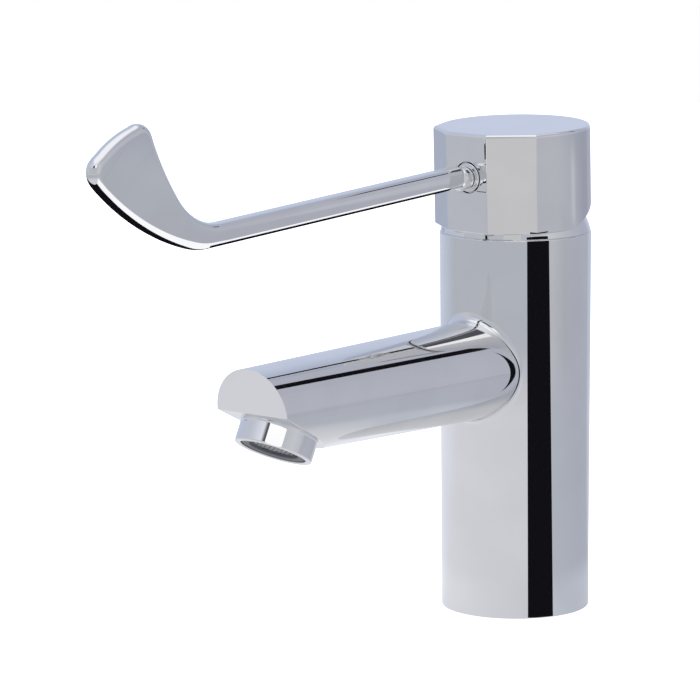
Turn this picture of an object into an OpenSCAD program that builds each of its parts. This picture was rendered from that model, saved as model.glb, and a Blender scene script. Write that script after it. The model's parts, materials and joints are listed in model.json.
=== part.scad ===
// Elbow lever tap: a one-hole basin mixer worked by a long hospital lever.
// Millimetres. +Z is up, the spout and the lever point along -Y, and the origin is
// the centre of the round face that stands on the basin. Every piece is drawn where
// it lies with the tap shut, the lever in line with the spout.

/* [Body] */
// Diameter of the body at the deck
body_base_d = 50; // [48:0.5:51]
// Diameter of the body at its top edge
body_top_d = 51.1; // [50:0.1:52]
// Height of the body from the deck to the seam under the collar
body_h = 128.6; // [126:0.2:150]
// Diameter of the hollow under the body, where the hoses and the stud go in
recess_d = 41; // [39:0.5:41.5]
// Depth of that hollow
recess_depth = 56; // [40:1:58]
// Size of the soft edge at the body's foot and at its top
body_edge = 0.4; // [0.2:0.05:0.8]
// Width of the groove for the base gasket
gasket_w = 2; // [1.4:0.1:2.4]
// Depth of the groove for the base gasket
gasket_h = 1.6; // [1:0.1:3]

/* [Ports] */
// Nominal diameter of the two hose threads
port_d = 10; // [8:0.5:11]
// Length of the hose threads
port_depth = 12; // [8:1:14]
// Distance of each port from the middle of the body
port_x = 9; // [8.8:0.1:9.5]
// Distance of the ports in front of the body's axis
port_front = 3; // [2:0.5:4]
// Diameter of the waterways from the ports up to the cartridge
feed_d = 6.4; // [5:0.2:6.8]
// Nominal diameter of the fixing stud's thread
stud_hole_d = 8; // [6:1:10]
// Depth of the fixing stud's hole
stud_hole_depth = 14; // [8:1:18]
// Distance of the stud hole behind the body's axis
stud_back = 12.5; // [12:0.5:13]

/* [Spout] */
// Distance from the body's axis to the spout's end face
spout_reach = 136.3; // [128:1:170]
// Radius of the spout where it leaves the body
spout_root_r = 16.65; // [15.5:0.1:17.5]
// Radius of the spout at its tip
spout_tip_r = 14.7; // [14.5:0.1:15.5]
// Height of the spout's centre line at the body
spout_root_z = 84; // [82:0.5:86]
// Rise of the spout's centre line from the body to its tip
spout_rise = 1.2; // [0:0.1:4]
// Angle by which the end face leans forward at its top
end_lean = 8; // [0:1:12]
// Size of the soft edge round the end face
nose_edge = 0.8; // [0.2:0.1:1.2]
// Reach of the soft blend between the spout and the body
blend = 6.5; // [3:0.5:6.5]
// Wall of the spout
spout_wall = 3; // [2:0.1:4]
// Diameter of the duct from the cartridge to the spout
duct_d = 8.4; // [6:0.2:8.8]

/* [Aerator] */
// Distance from the body's axis to the middle of the aerator's seat
aerator_reach = 122; // [115:1:124]
// Angle between the water jet and the vertical
aerator_tilt = 27; // [24:1:30]
// Height of the seat's middle below the spout's centre line
aerator_drop = 6.7; // [6:0.1:7.4]
// Diameter of the aerator's lip
lip_d = 26; // [25:0.1:26.6]
// Height of the lip
lip_h = 1.1; // [0.6:0.1:2]
// Diameter of the aerator's collar
housing_d = 25.6; // [24.8:0.1:25.8]
// Height of the collar under the seat
housing_h = 7.8; // [6:0.1:11]
// Distance across the two spanner flats
flats_af = 25; // [24.2:0.1:25.2]
// Angle of the spanner flats round the aerator
flats_turn = 38; // [0:1:90]
// Nominal diameter of the aerator's thread
aerator_thread_d = 24; // [22:0.5:24]
// Length of the aerator's thread
aerator_thread_h = 9; // [6:0.5:10]
// Bore of the aerator housing
housing_bore = 21.6; // [19:0.1:21.8]
// Bore of the aerator's insert
insert_bore = 17.4; // [12:0.1:18]
// Thickness of the aerator's rubber washer
washer_h = 1.8; // [1:0.1:2.4]

/* [Cartridge] */
// Depth of the cartridge chamber below the body's top edge
chamber_depth = 31.6; // [30.8:0.1:33]
// Diameter of the cartridge
cartridge_d = 35; // [34:0.1:35.6]
// Nominal diameter of the retaining nut's thread
nut_thread_d = 38; // [37:0.5:40]
// Distance across the retaining nut's flats
nut_af = 34; // [31:0.5:36]
// Height of the nut's hexagon
nut_hex_h = 6; // [4:0.5:7]
// Height of the distributor plate at the foot of the cartridge
plate_h = 7; // [6.4:0.1:7.6]
// Thickness of the fixed ceramic disc
fixed_disc_h = 4.2; // [3:0.1:4.4]
// Thickness of the moving ceramic disc
moving_disc_h = 3.8; // [3:0.1:4]
// Diameter of the rotor's upper part
rotor_d = 24.2; // [23.6:0.1:24.6]
// Wall of the cartridge's neck
neck_wall = 2; // [1.4:0.1:2.2]
// Height of the neck's top above the body
neck_above = 4.4; // [3:0.2:6]
// Diameter of the lever's pivot pin
pin_d = 4; // [3:0.5:4.5]
// Distance of the pivot below the body's top edge
pivot_drop = 6.1; // [5.8:0.1:6.4]
// Length from the pivot to the ball that drives the disc
drive_arm = 9; // [8.8:0.1:9.2]
// Diameter of that ball
ball_d = 4.8; // [4:0.1:5]
// Width of the lever's square stem
stem_w = 8; // [7:0.1:8.2]
// Angle through which the tap turns each way, from cold to hot
turn_limit = 45; // [30:1:50]

/* [Handle head] */
// Distance from the head's axis to its flats
head_r = 25.7; // [25:0.1:26]
// Height of the head
head_h = 33.2; // [30:0.1:40]
// Height of the head's lower rim above the body
head_gap = 2.8; // [2.8:0.1:3.6]
// Radius of the head's top edge
head_edge = 1.2; // [0.4:0.1:2]
// Thickness of the head's roof
roof = 4.5; // [3:0.1:6]
// Thickness of the head's wall above the collar
head_wall = 3.8; // [3.6:0.1:5]
// Angle through which the lever lifts
lift = 22; // [15:1:22]
// Angle by which the shut lever hangs below level
droop = 1.6; // [0:0.1:3]
// Diameter of the stem's boss inside the head
stem_boss_d = 17; // [15:0.5:17]

/* [Lever] */
// Height of the lever's neck above the pivot
arm_rise = 27.8; // [26:0.1:30]
// Angle by which the lever hangs down further than the head
arm_lean = 1; // [0:0.1:1.5]
// Height of the bar's centre line above the neck's
bar_lift = 1; // [0:0.1:1.4]
// Diameter of the lever's round neck
neck_d = 8; // [7.5:0.1:9]
// Diameter of the hole in the head round the neck
hub_hole_d = 10.4; // [9.8:0.1:12]
// Depth of that hole
hub_hole_depth = 4.3; // [3:0.1:6]
// Size of the bevel round the mouth of that hole
hub_edge = 0.8; // [0.3:0.1:1]
// Length of the neck that shows between the head and the bar
neck_show = 3.9; // [3:0.1:6]
// Radius with which the neck runs out into the bar
neck_round = 2.4; // [1:0.1:3]
// Width of the groove round the neck
groove_w = 0.7; // [0.4:0.1:1]
// Depth of that groove
groove_depth = 0.35; // [0.1:0.05:0.6]
// Nominal diameter of the lever's threaded end
arm_thread_d = 8; // [6:0.5:8]
// Height of the bar
bar_h = 7.4; // [6:0.1:8.5]
// Width of the bar
bar_w = 6.9; // [5:0.1:8]
// Distance from the axis to the bend of the lever's top edge, where the paddle begins
bend_y = 149.5; // [110:0.5:220]
// Distance by which the bend of the bottom edge lies further out
bend_lag = 7.7; // [4:0.1:10]
// Thickness of the paddle
paddle_t = 5.6; // [3.5:0.1:7]
// Radius of the bend along the paddle's outer edge
outer_bend_r = 24.5; // [20:0.5:30]
// Radius of the outer edge beyond its bend
outer_r = 99; // [90:1:110]
// Radius of the bend along the paddle's inner edge
inner_bend_r = 23.5; // [20:0.5:28]
// Radius of the inner edge beyond its bend
inner_r = 93; // [84:1:100]
// Radius of the paddle's lower corner
low_corner = 8.6; // [4:0.2:9]
// Radius of the paddle's top corner
top_corner = 6.6; // [3:0.2:8]
// Radius of the lever's long edges
arm_edge = 1.3; // [0.8:0.1:2]

/* [Collar] */
// Wall of the collar's dome
dome_wall = 1.6; // [1.2:0.1:1.8]
// Diameter of the opening at the top of the dome
dome_mouth_d = 35; // [34:0.5:36]
// Depth of the collar's skirt inside the body
skirt_h = 3.7; // [3:0.1:3.9]
// Wall of that skirt
skirt_wall = 1.8; // [1.6:0.1:1.9]

/* [Clearances] */
// Radial gap between threads
thread_gap = 0.05; // [0.03:0.01:0.1]
// Radial gap round pieces that sit loosely in a seat
seat_gap = 0.1; // [0.05:0.01:0.2]
// Radial gap of the rotor and the pivot
run_gap = 0.05; // [0.03:0.01:0.08]
// Gap at the sides of pieces that slide
slide_gap = 0.2; // [0.15:0.01:0.25]
// Gap between the lapped ceramic discs
lap_gap = 0.05; // [0.03:0.01:0.1]
// Gap between the head and the collar's dome
dome_gap = 0.35; // [0.3:0.05:0.5]

/* [Hidden] */
$fn = 96;
eps = 0.01;
far = 200;

// Heights
top_z = body_h;
pivot_z = top_z - pivot_drop;
seat_z = top_z - chamber_depth;
plate_top_z = seat_z + plate_h;
seal_h = 2.2;
disc_seal_h = 1.2;
disc_pocket = 2.5;
disc_z = plate_top_z - disc_pocket;
moving_z = disc_z + fixed_disc_h + lap_gap;
carrier_z = moving_z + moving_disc_h;
shoulder_drop = 4.5;
shoulder_z = pivot_z - shoulder_drop;
shoulder_t = 2;
cavity_top_z = shoulder_z - shoulder_t;
flange_gap = 0.1;
flange_h = 3;
flange_z = cavity_top_z - flange_gap - flange_h;
neck_top_z = top_z + neck_above;
rotor_top_z = neck_top_z - 1;
ball_y = drive_arm * sin(droop);
ball_z = pivot_z - drive_arm;

// Cartridge plan
housing_wall = 2.3;
plate_wall = 3.5;
carrier_room = 3.4;
carrier_wall = 0.8;
chamber_r = cartridge_d / 2 + 2 * seat_gap;
neck_r = rotor_d / 2 + run_gap + neck_wall;
cavity_r = cartridge_d / 2 - housing_wall;
flange_r = cavity_r - slide_gap;
carrier_r = flange_r - carrier_room;
disc_r = cartridge_d / 2 - plate_wall;
moving_r = carrier_r - carrier_wall;
outlet_back = 9.5;
port_seal_r = 4.6;
disc_seal_w = 1.1;
feed_hole_x = 6.5;
feed_hole_y = -2.5;
feed_hole_r = 2.6;
drain_hole_y = 6;
drain_hole_r = 3;
pin_l = rotor_d - 2 * slide_gap;
slot_w = stem_w + 2 * slide_gap;
slot_l = 16.8;
boss_wall = 2.2;
boss_r = ball_d / 2 + boss_wall;
stop_rib = 1.4;
stop_rib_w = 10;
nut_bore_r = neck_r + seat_gap + 0.05;

// Body top
counterbore_r = 22.2;
counterbore_depth = 4;
dome_r = sqrt(pow(body_top_d / 2 - 0.15, 2) + pow(pivot_drop, 2));
skirt_r = counterbore_r - thread_gap;
collar_seal_w = 0.9;
collar_seal_h = 1.6;

// Spout
spout_tip_y = 135;
throat_r = 7.5;
throat_l = 17;
throat_back = 20;
throat_lift = 4.5;
function body_r(z) = (body_base_d + (body_top_d - body_base_d) * z / body_h) / 2;
root_y = body_top_d / 2;
function along(y) = (-y - root_y) / (spout_tip_y - root_y);
function spout_r(y) = spout_root_r + (spout_tip_r - spout_root_r) * along(y);
function spout_z(y) = spout_root_z + spout_rise * along(y);
aerator_z = spout_z(-aerator_reach) - aerator_drop;
aerator_bore_depth = aerator_thread_h + washer_h;
end_z = spout_z(-spout_reach) + 7;

// Head, in the lever's own frame, where the bar is level
head_z = top_z + head_gap;
head_top = head_z + head_h;
arm_z = pivot_z + arm_rise;
flat_step = 36;
corner_r = head_r / cos(flat_step / 2);
head_sphere_r = dome_r + dome_gap;
stem_top_z = arm_z + 2;
boss_z = arm_z - 7;
hub_floor = head_r - hub_hole_depth;

// Points of an arc from angle a0 to a1 about c, in n steps
function arc(c, r, a0, a1, n) = [
    for (i = [0:n]) let (a = a0 + (a1 - a0) * i / n) [c[0] + r * cos(a), c[1] + r * sin(a)]
];

// Stands its children on the lever as it hangs when the tap is shut
module on_lever() {
    translate([0, 0, pivot_z]) rotate([droop, 0, 0]) translate([0, 0, -pivot_z]) children();
}

// Turns its children down with the lever, about the middle of the head
module on_arm() {
    translate([0, 0, arm_z]) rotate([arm_lean, 0, 0]) translate([0, 0, -arm_z]) children();
}

// Puts its children on the aerator's seat, with the jet along their -Z
module on_aerator() {
    translate([0, -aerator_reach, aerator_z]) rotate([-aerator_tilt, 0, 0]) children();
}

module ring(r_out, r_in, h) {
    difference() {
        cylinder(r = r_out, h = h);
        translate([0, 0, -1]) cylinder(r = r_in, h = h + 2);
    }
}

// A level cylinder that points along -Y from y0 to y1
module lying(r, y0, y1, x = 0, z = 0) {
    translate([x, y0, z]) rotate([90, 0, 0]) cylinder(r = r, h = y0 - y1);
}

// A cone between two places on the spout's centre line, inset from its skin
module spout_cone(y0, y1, inset = 0) {
    dy = y0 - y1;
    dz = spout_z(y1) - spout_z(y0);
    translate([0, y0, spout_z(y0)])
        rotate([90 - atan(dz / dy), 0, 0])
            cylinder(h = norm([dy, dz]), r1 = spout_r(y0) - inset, r2 = spout_r(y1) - inset);
}

// The blend between spout and body: at each angle round the spout, a curve that
// leaves the spout's skin and dies into the body's side
blend_turns = 48;
blend_steps = 6;
blend_sink = 0.25;
function blend_reach(a) = blend * (1 - 0.25 * pow(cos(a), 2));
function blend_y(rho, a) =
    -sqrt(pow(body_r(spout_root_z + rho * sin(a)), 2) - pow(rho * cos(a), 2));
function blend_curve(a, t) =
    let (
        f = blend_reach(a),
        r0 = spout_r(-root_y),
        corner = [r0, blend_y(r0, a)],
        start = [spout_r(corner[1] - f) - blend_sink, corner[1] - f],
        end = [r0 + f, blend_y(r0 + f, a) + blend_sink],
        p = start * pow(1 - t, 2) + corner * 2 * t * (1 - t) + end * t * t
    ) [p[0] * cos(a), p[1], spout_z(p[1]) + p[0] * sin(a)];

module spout_blend() {
    n = blend_turns;
    m = blend_steps;
    skin = [for (k = [0:m]) for (i = [0:n - 1]) blend_curve(360 * (i + 0.5) / n, k / m)];
    front = [0, -root_y - 2, spout_root_z];
    back = [0, 0, spout_root_z];
    faces = concat(
        [for (i = [0:n - 1]) [n * (m + 1), i, (i + 1) % n]],
        [for (k = [0:m - 1]) for (i = [0:n - 1])
            [k * n + i, (k + 1) * n + i, k * n + (i + 1) % n]],
        [for (k = [0:m - 1]) for (i = [0:n - 1])
            [k * n + (i + 1) % n, (k + 1) * n + i, (k + 1) * n + (i + 1) % n]],
        [for (i = [0:n - 1]) [m * n + i, n * (m + 1) + 1, m * n + (i + 1) % n]]
    );
    polyhedron(concat(skin, [front, back]), faces, convexity = 4);
}

// The spout's outer form: a cone cut by the end face and by the aerator's seat
module spout_form() {
    overrun = 12;
    difference() {
        spout_cone(-10, -spout_reach - overrun);
        translate([0, -spout_reach, end_z]) rotate([end_lean, 0, 0]) {
            translate([-far / 2, -far, -far / 2]) cube([far, far, far]);
            nose_bevel();
        }
        on_aerator() translate([-far / 2, -far / 2, -far]) cube([far, far, far]);
    }
}

// The soft edge round the end face, cut by a ring with a sloping inside
module nose_bevel() {
    r = spout_r(-spout_reach) / cos(end_lean) - nose_edge;
    w = 9;
    translate([0, 0, spout_z(-spout_reach) - end_z]) rotate([-90, 0, 0])
        rotate_extrude() polygon([[r - 1, -1], [r + w, -1], [r + w, w]]);
}

// Waterways, chamber and threads inside the casting
module casting_bores() {
    translate([0, 0, -1]) cylinder(d = recess_d, h = recess_depth + 1);
    translate([0, 0, -1]) ring(gasket_mid + gasket_w / 2, gasket_mid - gasket_w / 2,
        gasket_h + 1);
    for (side = [-1, 1]) translate([side * port_x, -port_front, 0]) {
        translate([0, 0, recess_depth - 1]) cylinder(d = port_d, h = port_depth + 1);
        translate([0, 0, recess_depth]) cylinder(d = feed_d, h = seat_z - recess_depth + 1);
    }
    translate([0, stud_back, recess_depth - 1])
        cylinder(d = stud_hole_d, h = stud_hole_depth + 1);
    translate([0, outlet_back, spout_root_z])
        cylinder(d = duct_d, h = seat_z - spout_root_z + 1);
    lying(duct_d / 2, outlet_back + duct_d / 2, -root_y - 8, z = spout_root_z);
    spout_cone(-root_y - 6, -aerator_reach + 15, spout_wall);
    lying(throat_r, throat_back - aerator_reach, throat_back - throat_l - aerator_reach,
        z = spout_root_z + throat_lift);
    on_aerator() {
        translate([0, 0, -1]) cylinder(d = aerator_thread_d, h = aerator_bore_depth + 1);
        cylinder(r = 9.5, h = aerator_bore_depth + 2.5);
    }
    translate([0, 0, seat_z]) cylinder(r = chamber_r, h = far);
    translate([0, 0, shoulder_z]) cylinder(d = nut_thread_d, h = far);
    translate([0, 0, top_z - counterbore_depth]) cylinder(r = counterbore_r, h = far);
}
gasket_mid = (recess_d / 2 + body_base_d / 2) / 2;

// The body's column: a slight cone with soft edges at its foot and at its top
module body_column() {
    e = body_edge;
    rotate_extrude() polygon(concat(
        [[0, 0]],
        arc([body_r(e) - e, e], e, -90, 0, 4),
        arc([body_r(body_h - e) - e, body_h - e], e, 0, 90, 4),
        [[0, body_h]]
    ));
}

module body_casting() {
    color("lightsteelblue") difference() {
        union() {
            body_column();
            spout_form();
            spout_blend();
        }
        casting_bores();
    }
}

module base_gasket() {
    color("dimgray") ring(gasket_mid + gasket_w / 2 - seat_gap,
        gasket_mid - gasket_w / 2 + seat_gap, gasket_h);
}

// The places of the three waterways under the cartridge: two feeds and the drain
port_places = [[-port_x, -port_front], [port_x, -port_front], [0, outlet_back]];
plate_holes = [
    [-feed_hole_x, feed_hole_y, feed_hole_r],
    [feed_hole_x, feed_hole_y, feed_hole_r],
    [0, drain_hole_y, drain_hole_r]
];

module disc_holes(h) {
    for (p = plate_holes) translate([p[0], p[1], -1]) cylinder(r = p[2], h = h + 2);
}

module cartridge_plate() {
    color("whitesmoke") translate([0, 0, seat_z]) difference() {
        cylinder(r = cartridge_d / 2, h = plate_h);
        translate([0, 0, plate_h - disc_pocket])
            cylinder(r = disc_r + seat_gap, h = plate_h);
        for (p = port_places) translate([p[0], p[1], -1])
            cylinder(r = port_seal_r, h = seal_h + 1);
        disc_holes(plate_h);
        for (p = plate_holes) translate([p[0], p[1], plate_h - disc_pocket - disc_seal_h])
            cylinder(r = p[2] + disc_seal_w, h = disc_seal_h + 1);
    }
}

module port_seals() {
    color("black") for (p = port_places) translate([p[0], p[1], seat_z])
        ring(port_seal_r - seat_gap, feed_d / 2 + seat_gap, seal_h);
}

module disc_seals() {
    color("black") for (p = plate_holes)
        translate([p[0], p[1], disc_z - disc_seal_h])
            ring(p[2] + disc_seal_w - seat_gap, p[2] + seat_gap, disc_seal_h);
}

module fixed_disc() {
    color("ivory") translate([0, 0, disc_z]) difference() {
        cylinder(r = disc_r, h = fixed_disc_h);
        disc_holes(fixed_disc_h);
    }
}

// The moving disc's mixing chamber: a bar that reaches over the feeds when the
// lever is lifted, and a round end over the drain
mix_depth = 1.8;
mix_over = 2;
mix_bar_y = 0.9;
mix_bar_l = 2.6;
mix_end_y = 5.7;
mix_end_r = 4.2;
module mixing_chamber() {
    reach = feed_hole_x + mix_over;
    translate([-reach, mix_bar_y, -1]) cube([2 * reach, mix_bar_l, mix_depth + 1]);
    translate([0, mix_end_y, -1]) cylinder(r = mix_end_r, h = mix_depth + 1);
}

module moving_disc() {
    color("ivory") translate([0, 0, moving_z]) difference() {
        cylinder(r = moving_r, h = moving_disc_h);
        mixing_chamber();
    }
}

// The carrier grips the moving disc by its rim, and the stem's ball stands in its boss
carrier_grip = 2.2;
carrier_t = 3.2;
carrier_floor = 1.2;
boss_over = 1.9;
module disc_carrier() {
    boss_top = ball_z + boss_over;
    color("khaki") difference() {
        union() {
            translate([0, 0, carrier_z - carrier_grip])
                cylinder(r = carrier_r, h = carrier_grip + carrier_t);
            translate([0, ball_y, carrier_z]) cylinder(r = boss_r, h = boss_top - carrier_z);
        }
        translate([0, 0, carrier_z - carrier_grip - 1])
            cylinder(r = moving_r + seat_gap, h = carrier_grip + 1);
        translate([0, ball_y, carrier_z + carrier_floor])
            cylinder(r = ball_d / 2 + slide_gap, h = far);
    }
}

module cartridge_housing() {
    color("darkgray") difference() {
        union() {
            translate([0, 0, plate_top_z])
                cylinder(d = cartridge_d, h = shoulder_z - plate_top_z);
            translate([0, 0, shoulder_z - 1])
                cylinder(r = neck_r, h = neck_top_z - shoulder_z + 1);
        }
        translate([0, 0, plate_top_z - 1])
            cylinder(r = cavity_r, h = cavity_top_z - plate_top_z + 1);
        translate([0, 0, cavity_top_z - 1])
            cylinder(r = rotor_d / 2 + run_gap, h = far);
    }
    color("darkgray") stop_rib();
}

// The rib at the back of the housing that stops the rotor at hot and at cold
module stop_rib() {
    intersection() {
        translate([0, 0, flange_z]) ring(cavity_r + 0.5, cavity_r - stop_rib,
            cavity_top_z - flange_z);
        translate([0, 0, flange_z - 1]) linear_extrude(far)
            polygon([[0, 0], [far * tan(stop_rib_w / 2), far],
                [-far * tan(stop_rib_w / 2), far]]);
    }
}

module retaining_nut() {
    thread_h = top_z - counterbore_depth - shoulder_z + seat_gap;
    color("goldenrod") translate([0, 0, shoulder_z]) difference() {
        union() {
            cylinder(r = nut_thread_d / 2 - thread_gap, h = thread_h);
            translate([0, 0, thread_h - eps])
                cylinder(d = nut_af / cos(30), h = nut_hex_h + eps, $fn = 6);
        }
        translate([0, 0, -1]) cylinder(r = nut_bore_r, h = far);
    }
}

// The dome is part of a ball about the lever's pivot, so the head can tip round it
module cover_collar() {
    foot = 1.2;
    color("gainsboro") difference() {
        union() {
            intersection() {
                translate([0, 0, pivot_z]) sphere(r = dome_r);
                translate([0, 0, top_z]) cylinder(r = far, h = far);
            }
            translate([0, 0, top_z - skirt_h]) cylinder(r = skirt_r, h = skirt_h + 1);
        }
        difference() {
            translate([0, 0, pivot_z]) sphere(r = dome_r - dome_wall);
            translate([0, 0, pivot_z - far]) cylinder(r = far, h = far + pivot_drop + foot);
        }
        translate([0, 0, top_z - skirt_h - 1])
            cylinder(r = skirt_r - skirt_wall, h = skirt_h + foot + 1 + eps);
        translate([0, 0, top_z]) cylinder(d = dome_mouth_d, h = far);
        translate([0, 0, collar_seal_z]) ring(skirt_r + 1, skirt_r - collar_seal_w,
            collar_seal_h);
    }
}
collar_seal_z = top_z - skirt_h / 2 - collar_seal_h / 2;

module collar_seal() {
    color("black") translate([0, 0, collar_seal_z + seat_gap / 2])
        ring(skirt_r, skirt_r - collar_seal_w + seat_gap, collar_seal_h - seat_gap);
}

// The collar of the aerator, with its lip, two spanner flats and outside thread
module aerator_housing() {
    rim_bevel = 0.6;
    r = housing_d / 2;
    color("gainsboro") on_aerator() difference() {
        union() {
            intersection() {
                translate([0, 0, -housing_h]) union() {
                    cylinder(r1 = r - rim_bevel, r2 = r, h = rim_bevel);
                    translate([0, 0, rim_bevel]) cylinder(r = r, h = housing_h - rim_bevel);
                }
                rotate([0, 0, flats_turn]) translate([-far / 2, -flats_af / 2, -housing_h])
                    cube([far, flats_af, housing_h]);
            }
            translate([0, 0, -lip_h]) cylinder(d = lip_d, h = lip_h);
            cylinder(r = aerator_thread_d / 2 - thread_gap, h = aerator_thread_h);
        }
        translate([0, 0, -far / 2]) cylinder(d = housing_bore, h = far);
    }
}

mesh_t = 0.5;
insert_foot = 0.8;
insert_recess = 0.6;
insert_z = -housing_h + insert_recess;
insert_r = housing_bore / 2 - seat_gap;

module aerator_insert() {
    color("white") on_aerator() difference() {
        translate([0, 0, insert_z]) cylinder(r = insert_r, h = aerator_thread_h - insert_z);
        translate([0, 0, insert_z + insert_foot]) cylinder(d = insert_bore, h = far);
        translate([0, 0, insert_z - 1]) cylinder(d = insert_bore - 1.2, h = far);
    }
}

// A round sieve with its holes on a square grid
module sieve(r, h, hole_d, pitch) {
    n = floor(r / pitch);
    difference() {
        cylinder(r = r, h = h);
        for (i = [-n:n]) for (j = [-n:n])
            if (norm([i, j]) * pitch < r - hole_d)
                translate([i * pitch, j * pitch, -1]) cylinder(d = hole_d, h = h + 2, $fn = 13);
    }
}

module aerator_mesh() {
    color("silver") on_aerator() translate([0, 0, insert_z + insert_foot])
        sieve(insert_bore / 2 - seat_gap, mesh_t, 1.3, 1.9);
}

module aerator_filter() {
    filter_h = 0.9;
    color("white") on_aerator() translate([0, 0, aerator_thread_h])
        sieve(washer_in_r - seat_gap, filter_h, 1.6, 2.4);
}
washer_in_r = housing_bore / 2 - 0.9;

module aerator_washer() {
    color("black") on_aerator() translate([0, 0, aerator_thread_h])
        ring(aerator_thread_d / 2 - seat_gap, washer_in_r, washer_h);
}

// The rotor turns in the cartridge's neck and carries the pivot pin
module rotor() {
    slot_z = flange_z + flange_h;
    boss_slot_w = 2 * (boss_r + slide_gap);
    seal_r = rotor_d / 2 - rotor_seal_w;
    color("dimgray") difference() {
        union() {
            translate([0, 0, flange_z]) cylinder(r = flange_r, h = flange_h);
            translate([0, 0, flange_z]) cylinder(d = rotor_d, h = rotor_top_z - flange_z);
        }
        translate([-slot_w / 2, -slot_l / 2, flange_z - 1]) cube([slot_w, slot_l, far]);
        translate([-boss_slot_w / 2, -slot_l / 2, flange_z - 1])
            cube([boss_slot_w, slot_l, slot_z - flange_z + 1 + 1]);
        translate([0, 0, pivot_z]) rotate([0, 90, 0])
            cylinder(d = pin_d + 2 * run_gap, h = far, center = true);
        translate([0, 0, rotor_seal_z]) ring(rotor_d, seal_r, rotor_seal_h);
        stop_window();
    }
}
rotor_seal_w = 1.4;
rotor_seal_h = 2;
rotor_seal_z = pivot_z + pin_d / 2 + 1.6;

// The window at the back of the flange, as wide as the turn allows
module stop_window() {
    play = 2;
    half = turn_limit + stop_rib_w / 2 + play;
    floor_r = cavity_r - stop_rib - slide_gap;
    difference() {
        translate([0, 0, flange_z - 1]) linear_extrude(flange_h + 1 + eps)
            polygon(concat([[0, 0]], arc([0, 0], flange_r + 2, 90 - half, 90 + half, 12)));
        translate([0, 0, flange_z - 2]) cylinder(r = floor_r, h = flange_h + 4);
    }
}

module rotor_seal() {
    color("black") translate([0, 0, rotor_seal_z + seat_gap / 2])
        ring(rotor_d / 2, rotor_d / 2 - rotor_seal_w + seat_gap, rotor_seal_h - seat_gap);
}

module pivot_pin() {
    color("silver") translate([-pin_l / 2, 0, pivot_z]) rotate([0, 90, 0])
        cylinder(d = pin_d, h = pin_l);
}

// The stem: a square top for the head, an eye on the pin, and an arm with a ball
module lever_stem() {
    eye_r = pin_d / 2 + 2;
    arm_r = ball_d / 2 - 0.6;
    color("burlywood") on_lever() difference() {
        union() {
            translate([-stem_w / 2, -stem_w / 2, pivot_z])
                cube([stem_w, stem_w, stem_top_z - pivot_z]);
            translate([0, 0, pivot_z]) rotate([0, 90, 0])
                cylinder(r = eye_r, h = stem_w, center = true);
            translate([0, 0, ball_z]) cylinder(r = arm_r, h = drive_arm);
            translate([0, 0, ball_z]) sphere(d = ball_d);
        }
        translate([0, 0, pivot_z]) rotate([0, 90, 0])
            cylinder(d = pin_d + 2 * run_gap, h = far, center = true);
    }
}

// Half of the head's section, from the axis outwards, for a wall at distance r and a
// roof at height top
function head_profile(r, top) = concat(
    [[0, head_z], [r, head_z]],
    arc([r - head_edge, top - head_edge], head_edge, 0, 90, 6),
    [[0, top]]
);

// The head's outside: round at the back and a fan of flats round the front. The round
// part is a hair smaller, so that it stays under the flats.
hair = 0.02;
last_flat = 2;
module head_form() {
    rotate_extrude() polygon(head_profile(head_r - hair, head_top - hair));
    intersection() {
        translate([0, 0, head_z]) linear_extrude(head_h) polygon(head_fan);
        intersection_for (k = [-last_flat:last_flat]) rotate([0, 0, k * flat_step])
            translate([far / 2, 0, 0]) rotate([90, 0, -90]) linear_extrude(far)
                polygon(concat(head_profile(head_r, head_top),
                    [[-far, head_top], [-far, head_z]]));
    }
}

// The front of the head seen from above: a fan of corners between the two last flats
head_fan = concat(
    [[0, 0], polar(head_r, -last_flat * flat_step)],
    [for (k = [-last_flat:last_flat - 1]) polar(corner_r, (k + 0.5) * flat_step)],
    [polar(head_r, last_flat * flat_step)]
);
function polar(r, a) = [r * sin(a), -r * cos(a)];

module handle_head() {
    bevel = 0.3;
    bevel_h = 3;
    color("silver") on_lever() difference() {
        intersection() {
            head_form();
            union() {
                translate([0, 0, head_z])
                    cylinder(r1 = head_r - bevel, r2 = head_r - bevel + bevel_h, h = bevel_h);
                translate([0, 0, head_z + bevel_h - eps]) cylinder(r = far, h = far);
            }
        }
        translate([0, 0, head_z]) rotate([lift, 0, 0]) translate([-far / 2, 0, -far])
            cube([far, far, far]);
        head_hollow();
        translate([-stem_w / 2 - seat_gap, -stem_w / 2 - seat_gap, boss_z - 1])
            cube([stem_w + 2 * seat_gap, stem_w + 2 * seat_gap, stem_top_z - boss_z + 1.5]);
        on_arm() {
            lying(arm_thread_d / 2, -stem_w / 2, -head_r, z = arm_z);
            lying(hub_hole_d / 2, -hub_floor, -head_r - 5, z = arm_z);
            translate([0, -head_r + hub_edge, arm_z]) rotate([90, 0, 0])
                cylinder(r1 = hub_hole_d / 2, r2 = hub_hole_d / 2 + 2 * hub_edge, h = 2 * hub_edge);
        }
    }
}

// The hollow inside the head, less the bosses for the stem and the lever
module head_hollow() {
    hollow_r = head_r - head_wall;
    arm_boss_r = 7;
    difference() {
        union() {
            translate([0, 0, pivot_z]) sphere(r = head_sphere_r);
            translate([0, 0, pivot_z + 10]) cylinder(r = hollow_r,
                h = head_top - roof - pivot_z - 10);
        }
        translate([0, 0, boss_z]) cylinder(d = stem_boss_d, h = far);
        lying(arm_boss_r, 0, -far / 4, z = arm_z);
    }
}

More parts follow.
